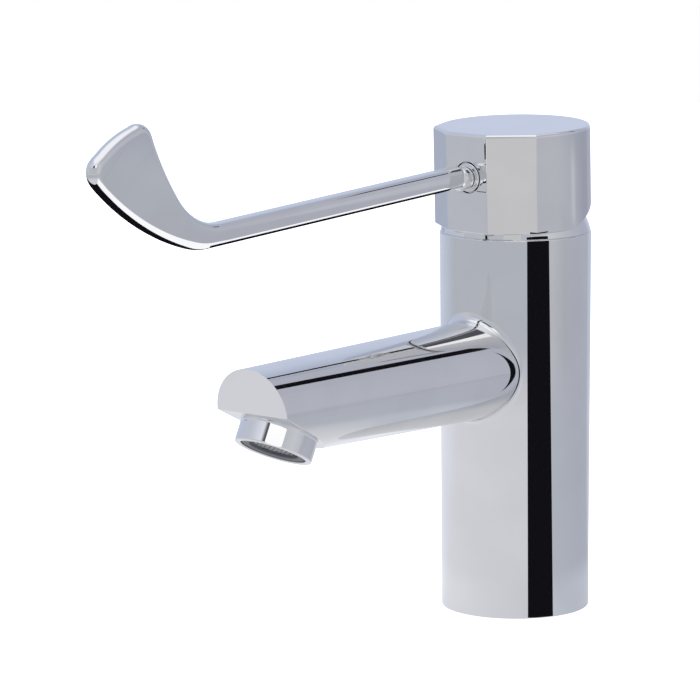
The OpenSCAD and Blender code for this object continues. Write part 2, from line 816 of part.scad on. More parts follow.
// Edges of the paddle seen from the side, as [y, z] at t from 0 to 1. Each turns up
// through a tight bend and then a wide one, up to the two angles in turn.
outer_turn = [18.2, 50.8];
inner_turn = [55.8, 74.6];
function bend_l(r0, r1, turn) = (r0 * turn[0] + r1 * (turn[1] - turn[0])) * PI / 180;
function bent(y0, z0, r0, r1, turn, t) =
    let (
        l0 = r0 * turn[0],
        l1 = r1 * (turn[1] - turn[0]),
        s = t * (l0 + l1),
        a = s < l0 ? s / r0 : turn[0] + (s - l0) / r1,
        b = min(a, turn[0]),
        y = r0 * sin(b) + r1 * (sin(a) - sin(b)),
        z = r0 * (1 - cos(b)) + r1 * (cos(b) - cos(a))
    ) [y0 - y, z0 + z];
function outer_edge(t) =
    bent(-bend_y - bend_lag, bar_z - bar_h / 2, outer_bend_r, outer_r, outer_turn, t);
function inner_edge(t) =
    bent(-bend_y, bar_z + bar_h / 2, inner_bend_r, inner_r, inner_turn, t);

// One section of the lever: a bar of width w with rounded edges between the outer
// edge point o and the inner edge point i, its two ends drawn in by trims
function section(o, i, w, edge, trims = [0, 0]) =
    let (
        u = (i - o) / norm(i - o),
        low = o + u * trims[0],
        high = i - u * trims[1],
        half = norm(high - low) / 2,
        mid = (low + high) / 2,
        e = min(edge, half - 0.05, w / 2 - 0.05)
    ) [for (q = [0:3]) for (k = [0:4])
        let (
            a = 90 * q + 22.5 * k,
            side = (q == 0 || q == 3 ? 1 : -1) * (w / 2 - e),
            end = (q < 2 ? 1 : -1) * (half - e),
            v = end + e * sin(a)
        ) [side + e * cos(a), mid[0] + u[0] * v, mid[1] + u[1] * v]];

// How far a rounded end of radius r draws in at distance d from its tip
function drawn_in(r, d) = d >= r ? 0 : r - sqrt(r * r - pow(r - d, 2));

bar_start = head_r + neck_show;
bar_z = arm_z + bar_lift;
paddle_steps = 18;
paddle_l = (bend_l(outer_bend_r, outer_r, outer_turn)
    + bend_l(inner_bend_r, inner_r, inner_turn)) / 2;

// Distances from a rounded end, from its full radius r down to a hair, in n steps
function end_steps(r, n) = [for (k = [0:n]) max(r * (1 - sin(90 * k / n)), 0.03)];
shoulder_steps = end_steps(arm_edge, 4);
tip_steps = end_steps(low_corner, 8);
paddle_end = 1 - tip_steps[0] / paddle_l;

// Sections from the shoulder at the neck to the bend, round the bend, and over the
// rounded tip, each at a distance d from its end
function bar_section(y, d) =
    let (
        drawn = drawn_in(arm_edge, d),
        half = bar_h / 2 - drawn
    ) section([-y, bar_z - half], [-y, bar_z + half], bar_w - 2 * drawn, arm_edge);
function paddle_section(t, d) =
    let (
        w = bar_w + (paddle_t - bar_w) * min(1, 2 * t) - 2 * drawn_in(arm_edge, d)
    ) section(outer_edge(t), inner_edge(t), w, arm_edge,
        [drawn_in(low_corner, d), drawn_in(top_corner, d)]);
arm_sections = concat(
    [for (k = [len(shoulder_steps) - 1:-1:0])
        bar_section(bar_start + shoulder_steps[k], shoulder_steps[k])],
    [for (k = [0:paddle_steps]) paddle_section(paddle_end * k / paddle_steps, far)],
    [for (k = [1:len(tip_steps) - 1])
        paddle_section(1 - tip_steps[k] / paddle_l, tip_steps[k])]
);

// A closed skin over a row of sections with as many points each
module loft(rows) {
    n = len(rows[0]);
    m = len(rows);
    points = [for (row = rows) for (p = row) p];
    faces = concat(
        [[for (i = [0:n - 1]) i]],
        [for (k = [0:m - 2]) for (i = [0:n - 1])
            [k * n + i, (k + 1) * n + i, k * n + (i + 1) % n]],
        [for (k = [0:m - 2]) for (i = [0:n - 1])
            [k * n + (i + 1) % n, (k + 1) * n + i, (k + 1) * n + (i + 1) % n]],
        [[for (i = [n - 1:-1:0]) (m - 1) * n + i]]
    );
    polyhedron(points, faces, convexity = 6);
}

// The turned neck with its groove and the round end that runs out into the bar
module arm_neck() {
    r = neck_d / 2;
    neck_end = bar_start + neck_round * 0.85;
    groove_y = (head_r + bar_start - groove_w) / 2;
    translate([0, 0, arm_z]) rotate([90, 0, 0]) rotate_extrude() polygon(concat(
        [[0, hub_floor], [r, hub_floor], [r, groove_y], [r - groove_depth, groove_y],
            [r - groove_depth, groove_y + groove_w], [r, groove_y + groove_w]],
        arc([r - neck_round, neck_end - neck_round], neck_round, 0, 80, 6),
        [[0, neck_end]]
    ));
}

module lever_arm() {
    color("silver") on_lever() on_arm() union() {
        loft(arm_sections);
        arm_neck();
        lying(arm_thread_d / 2 - thread_gap, -stem_w / 2 - seat_gap, -hub_floor - 1,
            z = arm_z);
    }
}

body_casting();
base_gasket();
cartridge_plate();
port_seals();
disc_seals();
fixed_disc();
cartridge_housing();
retaining_nut();
cover_collar();
collar_seal();
aerator_housing();
aerator_insert();
aerator_mesh();
aerator_filter();
aerator_washer();
rotor();
rotor_seal();
pivot_pin();
lever_stem();
handle_head();
lever_arm();
disc_carrier();
moving_disc();
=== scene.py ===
"""Looks of the elbow lever tap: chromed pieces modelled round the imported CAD, in a white studio."""

import json
import logging
import math
from dataclasses import dataclass
from enum import Enum
from typing import Callable

import bmesh
import bpy
from mathutils import Matrix, Vector


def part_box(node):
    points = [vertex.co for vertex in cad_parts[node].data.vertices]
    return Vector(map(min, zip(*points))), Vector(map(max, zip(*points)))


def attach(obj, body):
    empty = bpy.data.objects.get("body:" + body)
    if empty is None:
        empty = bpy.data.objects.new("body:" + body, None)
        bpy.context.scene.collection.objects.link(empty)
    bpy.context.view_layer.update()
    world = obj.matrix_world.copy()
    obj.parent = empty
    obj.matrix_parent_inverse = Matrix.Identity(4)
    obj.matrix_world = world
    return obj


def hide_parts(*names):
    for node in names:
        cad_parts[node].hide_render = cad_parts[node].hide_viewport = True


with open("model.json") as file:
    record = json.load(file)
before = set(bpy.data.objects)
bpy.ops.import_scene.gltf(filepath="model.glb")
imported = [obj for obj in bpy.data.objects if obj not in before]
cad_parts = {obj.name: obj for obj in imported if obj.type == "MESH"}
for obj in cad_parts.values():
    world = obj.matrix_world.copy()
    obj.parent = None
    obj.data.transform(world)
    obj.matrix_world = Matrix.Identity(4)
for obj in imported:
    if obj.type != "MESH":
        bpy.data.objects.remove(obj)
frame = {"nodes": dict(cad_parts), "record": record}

LOG = logging.getLogger("tap")
MM = 0.001
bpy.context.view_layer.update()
Point = tuple[float, float]


def millimetres(node: str) -> tuple[Vector, Vector]:
    """Returns the lowest and highest corner of a CAD node in millimetres."""
    low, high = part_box(node)
    return low / MM, high / MM


class Axis(Enum):
    """Directions of the tap's own frame."""

    X = Vector((1, 0, 0))
    Y = Vector((0, 1, 0))
    Z = Vector((0, 0, 1))


class Part(Enum):
    """What can be chosen of a piece in edit mode, under Blender's names."""

    VERTEX = "VERT"
    EDGE = "EDGE"


class Passage(Enum):
    """How a finish passes from its tone to its shade, under Blender's names."""

    EVEN = "LINEAR"
    SOFT = "SMOOTHSTEP"


# Places that several pieces share, in millimetres
PIVOT_Z = 122.5
DROOP = math.radians(1.6)
ARM_LEAN = math.radians(1.0)
ARM_Z = PIVOT_Z + 27.8
BODY_TOP = millimetres("body_casting")[1].z
SPOUT_Z = 84.0
SPOUT_RISE = 1.2
ROOT_Y = 25.55
TIP_Y = 135.0
SEAT = Vector((0, -122.0, SPOUT_Z + SPOUT_RISE * (122.0 - ROOT_Y) / (TIP_Y - ROOT_Y) - 6.7))
TILT = math.radians(27)

# How near counts as on a place, a plane or a bearing, in millimetres or degrees
NEAR = 0.01
FLUSH = 0.001
# Faces that meet under a smaller angle than this are shaded as one
SMOOTH_ANGLE = math.radians(32)


def shift(x: float, y: float, z: float) -> Matrix:
    """Returns a move by x, y and z millimetres."""
    return Matrix.Translation(Vector((x, y, z)))


def on_lever() -> Matrix:
    """Returns the turn that hangs a piece on the lever as it is with the tap shut."""
    return shift(0, 0, PIVOT_Z) @ Matrix.Rotation(DROOP, 4, "X") @ shift(0, 0, -PIVOT_Z)


def on_arm() -> Matrix:
    """Returns the place of the lever's bar, which leans down a little further than the head."""
    return on_lever() @ shift(0, 0, ARM_Z) @ Matrix.Rotation(ARM_LEAN, 4, "X") @ shift(0, 0, -ARM_Z)


def on_aerator() -> Matrix:
    """Returns the place of the aerator's seat, with the jet along its -Z."""
    return Matrix.Translation(SEAT) @ Matrix.Rotation(-TILT, 4, "X")


def arc(centre: Point, radius: float, start: float, end: float, steps: int) -> list[Point]:
    """Points of an arc in a profile.

    Args:
        centre: the arc's centre as (radius from the axis, height).
        radius: radius of the arc.
        start: first angle in degrees, from the outward direction.
        end: last angle in degrees.
        steps: number of steps along the arc.

    Returns:
        The points, both ends included.
    """
    turns = [math.radians(start + (end - start) * i / steps) for i in range(steps + 1)]
    return [(centre[0] + radius * math.cos(t), centre[1] + radius * math.sin(t)) for t in turns]


class Piece:
    """A new piece that is shaped in edit mode from a primitive, in millimetres at first."""

    def __init__(self, name: str) -> None:
        """Takes the primitive that was just added and names it.

        Args:
            name: name of the piece.
        """
        self.obj = bpy.context.object
        self.obj.name = name
        self.obj.data.name = name

    @staticmethod
    def deselect() -> None:
        """Leaves edit mode and deselects every object."""
        if bpy.context.object and bpy.context.object.mode == "EDIT":
            bpy.ops.object.mode_set(mode="OBJECT")
        bpy.ops.object.select_all(action="DESELECT")

    @classmethod
    def circle(cls, name: str, radius: float, height: float, turns: int, fill: bool = False) -> "Piece":
        """Adds a level circle round the axis and opens it in edit mode.

        Args:
            name: name of the piece.
            radius: radius of the circle.
            height: height of its plane.
            turns: number of its corners.
            fill: whether the circle is a face and not only a loop of edges.

        Returns:
            The piece, in edit mode with the circle selected.
        """
        cls.deselect()
        filling = "NGON" if fill else "NOTHING"
        bpy.ops.mesh.primitive_circle_add(
            vertices=turns, radius=radius, location=(0, 0, height), fill_type=filling
        )
        bpy.ops.object.transform_apply(location=True, rotation=True, scale=True)
        piece = cls(name)
        piece.edit()
        return piece

    @classmethod
    def turned(cls, name: str, profile: list[Point], turns: int = 192) -> "Piece":
        """Turns a closed profile round the axis, as on a lathe, one extruded ring after another.

        Args:
            name: name of the piece.
            profile: points as (radius, height). A first or last radius of 0 closes on the axis,
                otherwise the last point is joined to the first.
            turns: number of steps round the axis.

        Returns:
            The closed piece, in edit mode.
        """
        on_axis = profile[0][0] == 0
        rings = profile[1:-1] if on_axis else profile + profile[:1]
        radius, height = rings[0]
        piece = cls.circle(name, radius, height, turns, fill=on_axis)
        for r, z in rings[1:]:
            piece.extrude((0, 0, z - height))
            piece.resize((r / radius, r / radius, 1), (0, 0, z))
            radius, height = r, z
        bpy.ops.mesh.select_all(action="SELECT")
        bpy.ops.mesh.remove_doubles(threshold=1e-4)
        piece.face_outwards()
        return piece

    @classmethod
    def strip(cls, name: str, stations: list[tuple[Vector, Vector]]) -> "Piece":
        """Makes a strip of faces in the plane x = 0, one extruded from the edge of another.

        Args:
            name: name of the piece.
            stations: the two ends of each cross line, one line after another.

        Returns:
            The strip, in edit mode.
        """
        cls.deselect()
        bpy.ops.mesh.primitive_plane_add(size=1)
        piece = cls(name)
        piece.edit()
        piece.pick(lambda p: p.y > 0)
        bpy.ops.mesh.delete(type="VERT")
        step = Vector((0, -1, 0))
        bpy.ops.mesh.select_all(action="SELECT")
        for _ in stations[1:]:
            piece.extrude(step)
        piece.reshape(lambda p: stations[round(-p.y - 0.5)][0 if p.x < 0 else 1].copy())
        return piece

    def edit(self) -> None:
        """Opens the piece in edit mode with everything selected."""
        bpy.context.view_layer.objects.active = self.obj
        if self.obj.mode != "EDIT":
            bpy.ops.object.mode_set(mode="EDIT")
        bpy.ops.mesh.select_mode(type="VERT")
        bpy.ops.mesh.select_all(action="SELECT")

    def pick(self, test: Callable[[Vector], bool]) -> None:
        """Selects the vertices whose place passes a test, and nothing else.

        Args:
            test: says of a vertex's place whether it is wanted.
        """
        self.choose(Part.VERTEX, lambda vertex: test(vertex.co))

    def pick_edges(self, test: Callable[[Vector, Vector], bool]) -> None:
        """Selects the edges whose two ends pass a test, and nothing else.

        Args:
            test: says of an edge's two ends whether it is wanted.
        """
        self.choose(Part.EDGE, lambda edge: test(edge.verts[0].co, edge.verts[1].co))

    def pick_sharp(self, test: Callable[[Vector], bool], least: float) -> None:
        """Selects the edges that bend by at least an angle and whose middle passes a test.

        Args:
            test: says of an edge's middle whether it is wanted.
            least: least angle between the edge's two faces, in degrees.
        """

        def wanted(edge: bmesh.types.BMEdge) -> bool:
            """Says whether an edge bends enough and passes the test."""
            middle = (edge.verts[0].co + edge.verts[1].co) / 2
            return edge.calc_face_angle(0) > math.radians(least) and test(middle)

        self.choose(Part.EDGE, wanted)

    def choose(self, kind: Part, wanted: Callable[[object], bool]) -> None:
        """Selects the vertices or the edges that are wanted, and nothing else.

        Args:
            kind: which of the two is chosen.
            wanted: says of a vertex or an edge whether it is wanted.
        """
        bpy.ops.mesh.select_mode(type=kind.value)
        bpy.ops.mesh.select_all(action="DESELECT")
        mesh = bmesh.from_edit_mesh(self.obj.data)
        for part in mesh.verts if kind is Part.VERTEX else mesh.edges:
            part.select_set(wanted(part))
        if kind is Part.VERTEX:
            mesh.select_flush(True)
        bmesh.update_edit_mesh(self.obj.data)

    def face_outwards(self) -> None:
        """Turns every face of the closed piece outwards."""
        bpy.ops.mesh.select_all(action="SELECT")
        bpy.ops.mesh.normals_make_consistent(inside=False)

    def extrude(self, move: tuple[float, float, float]) -> None:
        """Extrudes what is selected by a move."""
        bpy.ops.mesh.extrude_region_move(TRANSFORM_OT_translate={"value": move})

    def resize(self, scale: tuple[float, float, float], centre: tuple[float, float, float]) -> None:
        """Resizes what is selected about a centre."""
        bpy.ops.transform.resize(value=scale, center_override=centre)

    def bevel(self, size: float, steps: int = 4, clamp: bool = True) -> None:
        """Rounds the selected edges.

        Args:
            size: distance of the rounding from the edge.
            steps: number of faces across it.
            clamp: whether the size is held back where two roundings would meet.
        """
        bpy.ops.mesh.bevel(
            offset=size, segments=steps, profile=0.5, affect="EDGES", clamp_overlap=clamp
        )

    def cut(self, point: Vector, normal: Vector) -> None:
        """Cuts the whole piece with a plane, takes away the side of the normal and closes it.

        Args:
            point: a point of the plane.
            normal: the plane's normal.
        """
        bpy.ops.mesh.select_mode(type="VERT")
        bpy.ops.mesh.select_all(action="SELECT")
        bpy.ops.mesh.bisect(
            plane_co=point, plane_no=normal, use_fill=True, clear_inner=False, clear_outer=True
        )

    def reshape(self, place: Callable[[Vector], Vector]) -> None:
        """Moves every vertex to where a form's formula puts it.

        Args:
            place: gives a vertex's new place from its old one.
        """
        mesh = bmesh.from_edit_mesh(self.obj.data)
        for vertex in mesh.verts:
            vertex.co = place(vertex.co)
        bmesh.update_edit_mesh(self.obj.data)

    def make_active(self) -> None:
        """Leaves edit mode and selects this piece alone."""
        self.deselect()
        self.obj.select_set(True)
        bpy.context.view_layer.objects.active = self.obj

    def move(self, place: Matrix) -> "Piece":
        """Puts the piece at a place and applies that, so that its object stays at the origin.

        Args:
            place: the place in millimetres.

        Returns:
            The piece, in object mode.
        """
        self.make_active()
        self.obj.matrix_world = place
        bpy.ops.object.transform_apply(location=True, rotation=True, scale=True)
        return self

    def settle(self, place: Matrix = Matrix.Identity(4)) -> "Piece":
        """Puts the piece at its place and turns its millimetres into metres."""
        return self.move(Matrix.Scale(MM, 4) @ place)

    def modify(self, kind: str, **settings: object) -> None:
        """Adds a modifier with its settings and applies it.

        Args:
            kind: Blender's name of the modifier.
            settings: values of its properties.
        """
        self.make_active()
        modifier = self.obj.modifiers.new(kind.title(), kind)
        for key, value in settings.items():
            setattr(modifier, key, value)
        bpy.ops.object.modifier_apply(modifier=modifier.name)

    def carve(self, tool: "Piece") -> None:
        """Takes the tool's form out of the piece and deletes the tool."""
        self.modify("BOOLEAN", operation="DIFFERENCE", object=tool.obj, solver="EXACT")
        bpy.data.objects.remove(tool.obj)

    def join(self, *others: "Piece") -> "Piece":
        """Joins other shells of the same casting to the piece.

        Args:
            others: the shells, which end up in this piece.

        Returns:
            The piece.
        """
        self.make_active()
        for other in others:
            other.obj.select_set(True)
        bpy.ops.object.join()
        return self

    def hand_over(self, finishes: "Finishes", body: str, slot: str, *nodes: str) -> None:
        """Smooths the piece, flats kept flat, and gives it its material and its place in the tap.

        Args:
            finishes: the tap's materials.
            body: the CAD body that it moves with.
            slot: the record's material slot.
            nodes: the CAD nodes that it stands for.
        """
        self.make_active()
        bpy.ops.object.shade_smooth_by_angle(angle=SMOOTH_ANGLE)
        self.modify("WEIGHTED_NORMAL", keep_sharp=True, weight=100)
        self.obj.data.materials.clear()
        self.obj.data.materials.append(finishes.of(slot))
        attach(self.obj, body)
        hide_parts(*nodes)
        LOG.info("piece %s: %d faces, %s", self.obj.name, len(self.obj.data.polygons), slot)


def linear(colour: str) -> tuple[float, float, float, float]:
    """Turns a screen colour such as #c8ccd2 into linear values.

    Args:
        colour: the colour in hexadecimal.

    Returns:
        Red, green, blue and an alpha of 1.
    """
    parts = [int(colour[i : i + 2], 16) / 255 for i in (1, 3, 5)]
    values = [p / 12.92 if p <= 0.04045 else ((p + 0.055) / 1.055) ** 2.4 for p in parts]
    return (*values, 1.0)


class Graph:
    """A shader's node tree, filled node by node."""

    def __init__(self, tree: bpy.types.NodeTree) -> None:
        """Takes a tree and empties it."""
        self.tree = tree
        tree.nodes.clear()

    def add(
        self, kind: str, inputs: dict[str | int, object] | None = None, **settings: object
    ) -> bpy.types.Node:
        """Adds a node.

        Args:
            kind: Blender's name of the node after ShaderNode.
            inputs: for each socket a value, or the node or the output socket that feeds it.
            settings: values of the node's properties.

        Returns:
            The node.
        """
        node = self.tree.nodes.new("ShaderNode" + kind)
        for key, value in settings.items():
            setattr(node, key, value)
        for key, value in (inputs or {}).items():
            if isinstance(value, bpy.types.Node):
                value = next(socket for socket in value.outputs if socket.enabled)
            if isinstance(value, bpy.types.NodeSocket):
                self.tree.links.new(value, node.inputs[key])
            else:
                node.inputs[key].default_value = value
        return node


def new_material(name: str) -> tuple[bpy.types.Material, Graph]:
    """Makes a material whose graph is still empty.

    Args:
        name: name of the material.

    Returns:
        The material and its graph.
    """
    material = bpy.data.materials.new(name)
    material.use_nodes = True
    return material, Graph(material.node_tree)


@dataclass(frozen=True)
class Finish:
    """A finish, with the numbers that suit what is moulded: plastic, rubber or ceramic.

    Real grain is finer than grain_mm, which is as coarse as it needs to be to show.
    """

    name: str
    tone: str
    shade: str
    roughness: float
    grain_mm: float
    bump: float
    spread: float = 0.12
    metallic: float = 0.0
    drift_mm: float = 9.0
    drift_detail: float = 4.0
    grain_detail: float = 3.0
    depth_mm: float = 0.05
    passage: Passage = Passage.EVEN
    tone_range: Point = (0.0, 1.0)
    gloss_drifts: bool = False

    def build(self) -> bpy.types.Material:
        """Makes the material: two near tones and a gloss that drift a little, and a fine grain.

        Returns:
            The material.
        """
        material, graph = new_material(self.name)
        place = graph.add("TexCoord").outputs["Object"]
        coarse = {"Scale": 1 / (self.drift_mm * MM), "Detail": self.drift_detail}
        fine = {"Scale": 1 / (self.grain_mm * MM), "Detail": self.grain_detail}
        drift, grain = (graph.add("TexNoise", {"Vector": place, **size}) for size in (coarse, fine))
        start, end = self.tone_range
        rise = {"Value": drift, "From Min": start, "From Max": end}
        share = graph.add("MapRange", rise, interpolation_type=self.passage.value)
        tones = {0: share, 6: linear(self.tone), 7: linear(self.shade)}
        tone = graph.add("Mix", tones, data_type="RGBA")
        uneven_gloss = drift if self.gloss_drifts else grain
        sums = {0: uneven_gloss, 1: self.spread, 2: self.roughness - self.spread / 2}
        gloss = graph.add("Math", sums, operation="MULTIPLY_ADD")
        depth = self.depth_mm * MM
        uneven = graph.add("Bump", {"Height": grain, "Strength": self.bump, "Distance": depth})
        looks = {"Base Color": tone, "Metallic": self.metallic, "Roughness": gloss, "Normal": uneven}
        graph.add("OutputMaterial", {"Surface": graph.add("BsdfPrincipled", looks)})
        return material


@dataclass(frozen=True)
class Metal(Finish):
    """A metal's finish: tone and gloss drift over broad patches under the marks of its polish."""

    metallic: float = 1.0
    drift_mm: float = 18.0
    drift_detail: float = 3.0
    grain_detail: float = 2.0
    depth_mm: float = 0.02
    passage: Passage = Passage.SOFT
    tone_range: Point = (0.35, 0.65)
    gloss_drifts: bool = True


class Finishes:
    """All materials of the tap, by the record's slots."""

    def __init__(self) -> None:
        """Builds each material once."""
        # Polished nickel-chrome plating on brass: a clear, nearly untinted mirror
        self.chrome = Metal("chrome_plating", "#e8e8e8", "#e5e5e5", 0.035, 0.5, 0.02, 0.02).build()
        # Turned brass, left unplated inside: a warm, softly glossy yellow
        self.raw_brass = Metal("turned_brass", "#c8a24b", "#b98f3c", 0.3, 0.3, 0.3, 0.12).build()
        # Drawn stainless steel of pin and sieve: grey with a blurred gloss
        self.steel = Metal("stainless_steel", "#a9abae", "#96989c", 0.28, 0.25, 0.2, 0.1).build()
        # Moulded acetal of filter, plate and carrier: milk-white and waxy
        self.light_plastic = Finish("acetal", "#d5d6d4", "#cccdca", 0.42, 0.4, 0.15).build()
        # Moulded glass-filled nylon of cartridge and insert: matt grey
        self.grey_plastic = Finish("filled_nylon", "#6e7073", "#66686b", 0.5, 0.25, 0.3).build()
        # Moulded nitrile rubber of the seals: black, with hardly any gloss
        self.black_rubber = Finish("nitrile_rubber", "#1b1b1c", "#222223", 0.62, 0.3, 0.25).build()
        # Lapped alumina ceramic of the discs: cream-white and glossy
        self.ceramic = Finish("alumina", "#f1ede2", "#e9e5da", 0.16, 0.2, 0.05).build()

    def of(self, slot: str) -> bpy.types.Material:
        """Returns the material of a slot."""
        return getattr(self, slot)


@dataclass
class Casting:
    """The body and the spout: one chromed brass casting with a soft blend between the two."""

    base_r: float = 25.0
    recess_r: float = 20.5
    recess_h: float = 56.0
    groove_w: float = 2.0
    groove_depth: float = 1.6
    # Bores up into the body for the hoses and the stud, as (x, y, radius, depth)
    bores: tuple[tuple[float, ...], ...] = ((-9, -3, 5, 12), (9, -3, 5, 12), (0, 12.5, 4, 14))
    # Room for the cartridge, for its nut and for the collar's skirt
    chamber_z: float = 97.0
    chamber_r: float = 17.7
    nut_z: float = 118.0
    nut_r: float = 19.0
    mouth_r: float = 22.2
    mouth_depth: float = 4.0
    edge: float = 0.4
    root_r: float = 16.65
    tip_r: float = 14.7
    root_back: float = 19.0
    reach: float = 136.3
    overrun: float = 12.0
    end_rise: float = 7.0
    end_lean: float = 8.0
    nose_edge: float = 0.8
    seat_edge: float = 0.25
    blend_top: float = 3.2
    blend_side: float = 0.9
    blend_turns: int = 192
    blend_steps: int = 20
    # How far the blend's ends run on and how deep they lie under the skins, and the end of its
    # core inside the body
    overlap: float = 1.0
    sink: float = 0.02
    core_r: float = 8.0
    core_y: float = -10.0

    @property
    def top_r(self) -> float:
        """Radius of the body at its top edge."""
        return ROOT_Y

    def body_r(self, z: float) -> float:
        """Returns the body's radius at a height."""
        return self.base_r + (self.top_r - self.base_r) * z / BODY_TOP

    def spout_r(self, y: float) -> float:
        """Returns the spout's radius at a place along it."""
        return self.root_r + (self.tip_r - self.root_r) * (-y - ROOT_Y) / (TIP_Y - ROOT_Y)

    def spout_z(self, y: float) -> float:
        """Returns the height of the spout's centre line at a place along it."""
        return SPOUT_Z + SPOUT_RISE * (-y - ROOT_Y) / (TIP_Y - ROOT_Y)

    def body(self) -> Piece:
        """Turns the body with its recess, gasket groove, chamber and counterbore.

        Returns:
            The body, with its bores.
        """
        e, top = self.edge, BODY_TOP
        groove, half = (self.recess_r + self.base_r) / 2, self.groove_w / 2
        profile = [
            (0, self.chamber_z),
            (self.chamber_r, self.chamber_z),
            (self.chamber_r, self.nut_z),
            (self.nut_r, self.nut_z),
            (self.nut_r, top - self.mouth_depth),
            (self.mouth_r, top - self.mouth_depth),
            (self.mouth_r, top),
            *arc((self.top_r - e, top - e), e, 90, 0, 4),
            *arc((self.base_r - e, e), e, 0, -90, 4),
            (groove + half, 0),
            (groove + half, self.groove_depth),
            (groove - half, self.groove_depth),
            (groove - half, 0),
            (self.recess_r, 0),
            (self.recess_r, self.recess_h),
            (0, self.recess_h),
        ]
        piece = Piece.turned("casting", profile, 256)
        piece.settle()
        for x, y, r, depth in self.bores:
            low = self.recess_h - self.overlap
            drill = [(0, low), (r, low), (r, self.recess_h + depth), (0, self.recess_h + depth)]
            piece.carve(Piece.turned("drill", drill, 48).settle(shift(x, y, 0)))
        return piece

    def spout(self) -> Piece:
        """Makes the spout: a long cone cut by its end face and by the aerator's seat.

        Returns:
            The spout, whose root ends inside the body.
        """
        back, front = -self.root_back, -(self.reach + self.overrun)
        rise = math.atan((self.spout_z(front) - self.spout_z(back)) / (back - front))
        length = (back - front) / math.cos(rise)
        profile = [(0, 0), (self.spout_r(back), 0), (self.spout_r(front), length), (0, length)]
        piece = Piece.turned("spout", profile, 256)
        place = shift(0, back, self.spout_z(back)) @ Matrix.Rotation(math.pi / 2 - rise, 4, "X")
        piece.move(place)
        piece.edit()
        lean = Matrix.Rotation(math.radians(self.end_lean), 3, "X")
        end = Vector((0, -self.reach, self.spout_z(-self.reach) + self.end_rise))
        end_normal = lean @ -Axis.Y.value
        seat_normal = Matrix.Rotation(-TILT, 3, "X") @ -Axis.Z.value
        piece.cut(end, end_normal)
        piece.cut(SEAT, seat_normal)
        piece.pick_edges(lambda *ends: all(abs((p - end).dot(end_normal)) < FLUSH for p in ends))
        piece.bevel(self.nose_edge, 5)
        piece.pick_sharp(lambda m: abs((m - SEAT).dot(seat_normal)) < FLUSH, 20)
        piece.bevel(self.seat_edge, 3)
        piece.settle()
        return piece

    def blend_point(self, turn: float, t: float) -> Vector:
        """A point of the blend, on a curve that leaves the spout's skin and ends along the body's.

        Args:
            turn: angle round the spout, from the right-hand side.
            t: share of the way from the spout to the body.

        Returns:
            The point in millimetres.
        """
        c, s = math.cos(turn), math.sin(turn)
        reach = self.blend_side + (self.blend_top - self.blend_side) * s * s
        r0 = self.spout_r(-ROOT_Y)
        rho = r0 + reach
        body = self.body_r(SPOUT_Z + rho * s)
        end_y = -math.sqrt(body * body - (rho * c) ** 2)
        corner_y = end_y + rho * c * c / end_y * reach
        start_y = corner_y - reach
        points = ((self.spout_r(start_y), start_y), (r0, corner_y), (rho, end_y))
        shares = ((1 - t) ** 2, 2 * t * (1 - t), t * t)
        r = sum(p[0] * k for p, k in zip(points, shares))
        y = sum(p[1] * k for p, k in zip(points, shares))
        return Vector((r * c, y, self.spout_z(y) + r * s))

    def blend_place(self, place: Vector) -> Vector:
        """Finds where a vertex of the stack of rings goes: ring 0 and the last two are sunk.

        Args:
            place: the vertex in the stack, whose height tells its ring.

        Returns:
            Its place on the blend in millimetres.
        """
        turn, ring = math.atan2(place.y, place.x), round(place.z) - 1
        c, s = math.cos(turn), math.sin(turn)
        first, last = self.blend_point(turn, 0), self.blend_point(turn, 1)
        if ring < 0:
            return first + Vector((-self.sink * c, -self.overlap, -self.sink * s))
        if ring <= self.blend_steps:
            return self.blend_point(turn, ring / self.blend_steps)
        rho = math.hypot(last.x, last.z - self.spout_z(last.y)) + self.overlap
        if ring == self.blend_steps + 1:
            body = self.body_r(SPOUT_Z + rho * s) - self.sink
            y = -math.sqrt(body * body - (rho * c) ** 2)
            return Vector((rho * c, y, self.spout_z(y) + rho * s))
        return Vector((self.core_r * c, self.core_y, SPOUT_Z + self.core_r * s))

    def blend(self) -> Piece:
        """Makes the soft blend: a stack of rings, one extruded from another, spread into its form.

        Returns:
            The blend, closed by its core inside the body.
        """
        piece = Piece.circle("blend", self.root_r, 0, self.blend_turns, fill=True)
        for _ in range(self.blend_steps + 3):
            piece.extrude((0, 0, 1))
        piece.reshape(self.blend_place)
        piece.face_outwards()
        return piece.settle()

    def build(self, finishes: Finishes) -> None:
        """Joins body, spout and blend and stands them for the CAD's casting.

        Args:
            finishes: the tap's materials.
        """
        piece = self.body().join(self.spout(), self.blend())
        piece.hand_over(finishes, "root", "chrome", "body_casting")


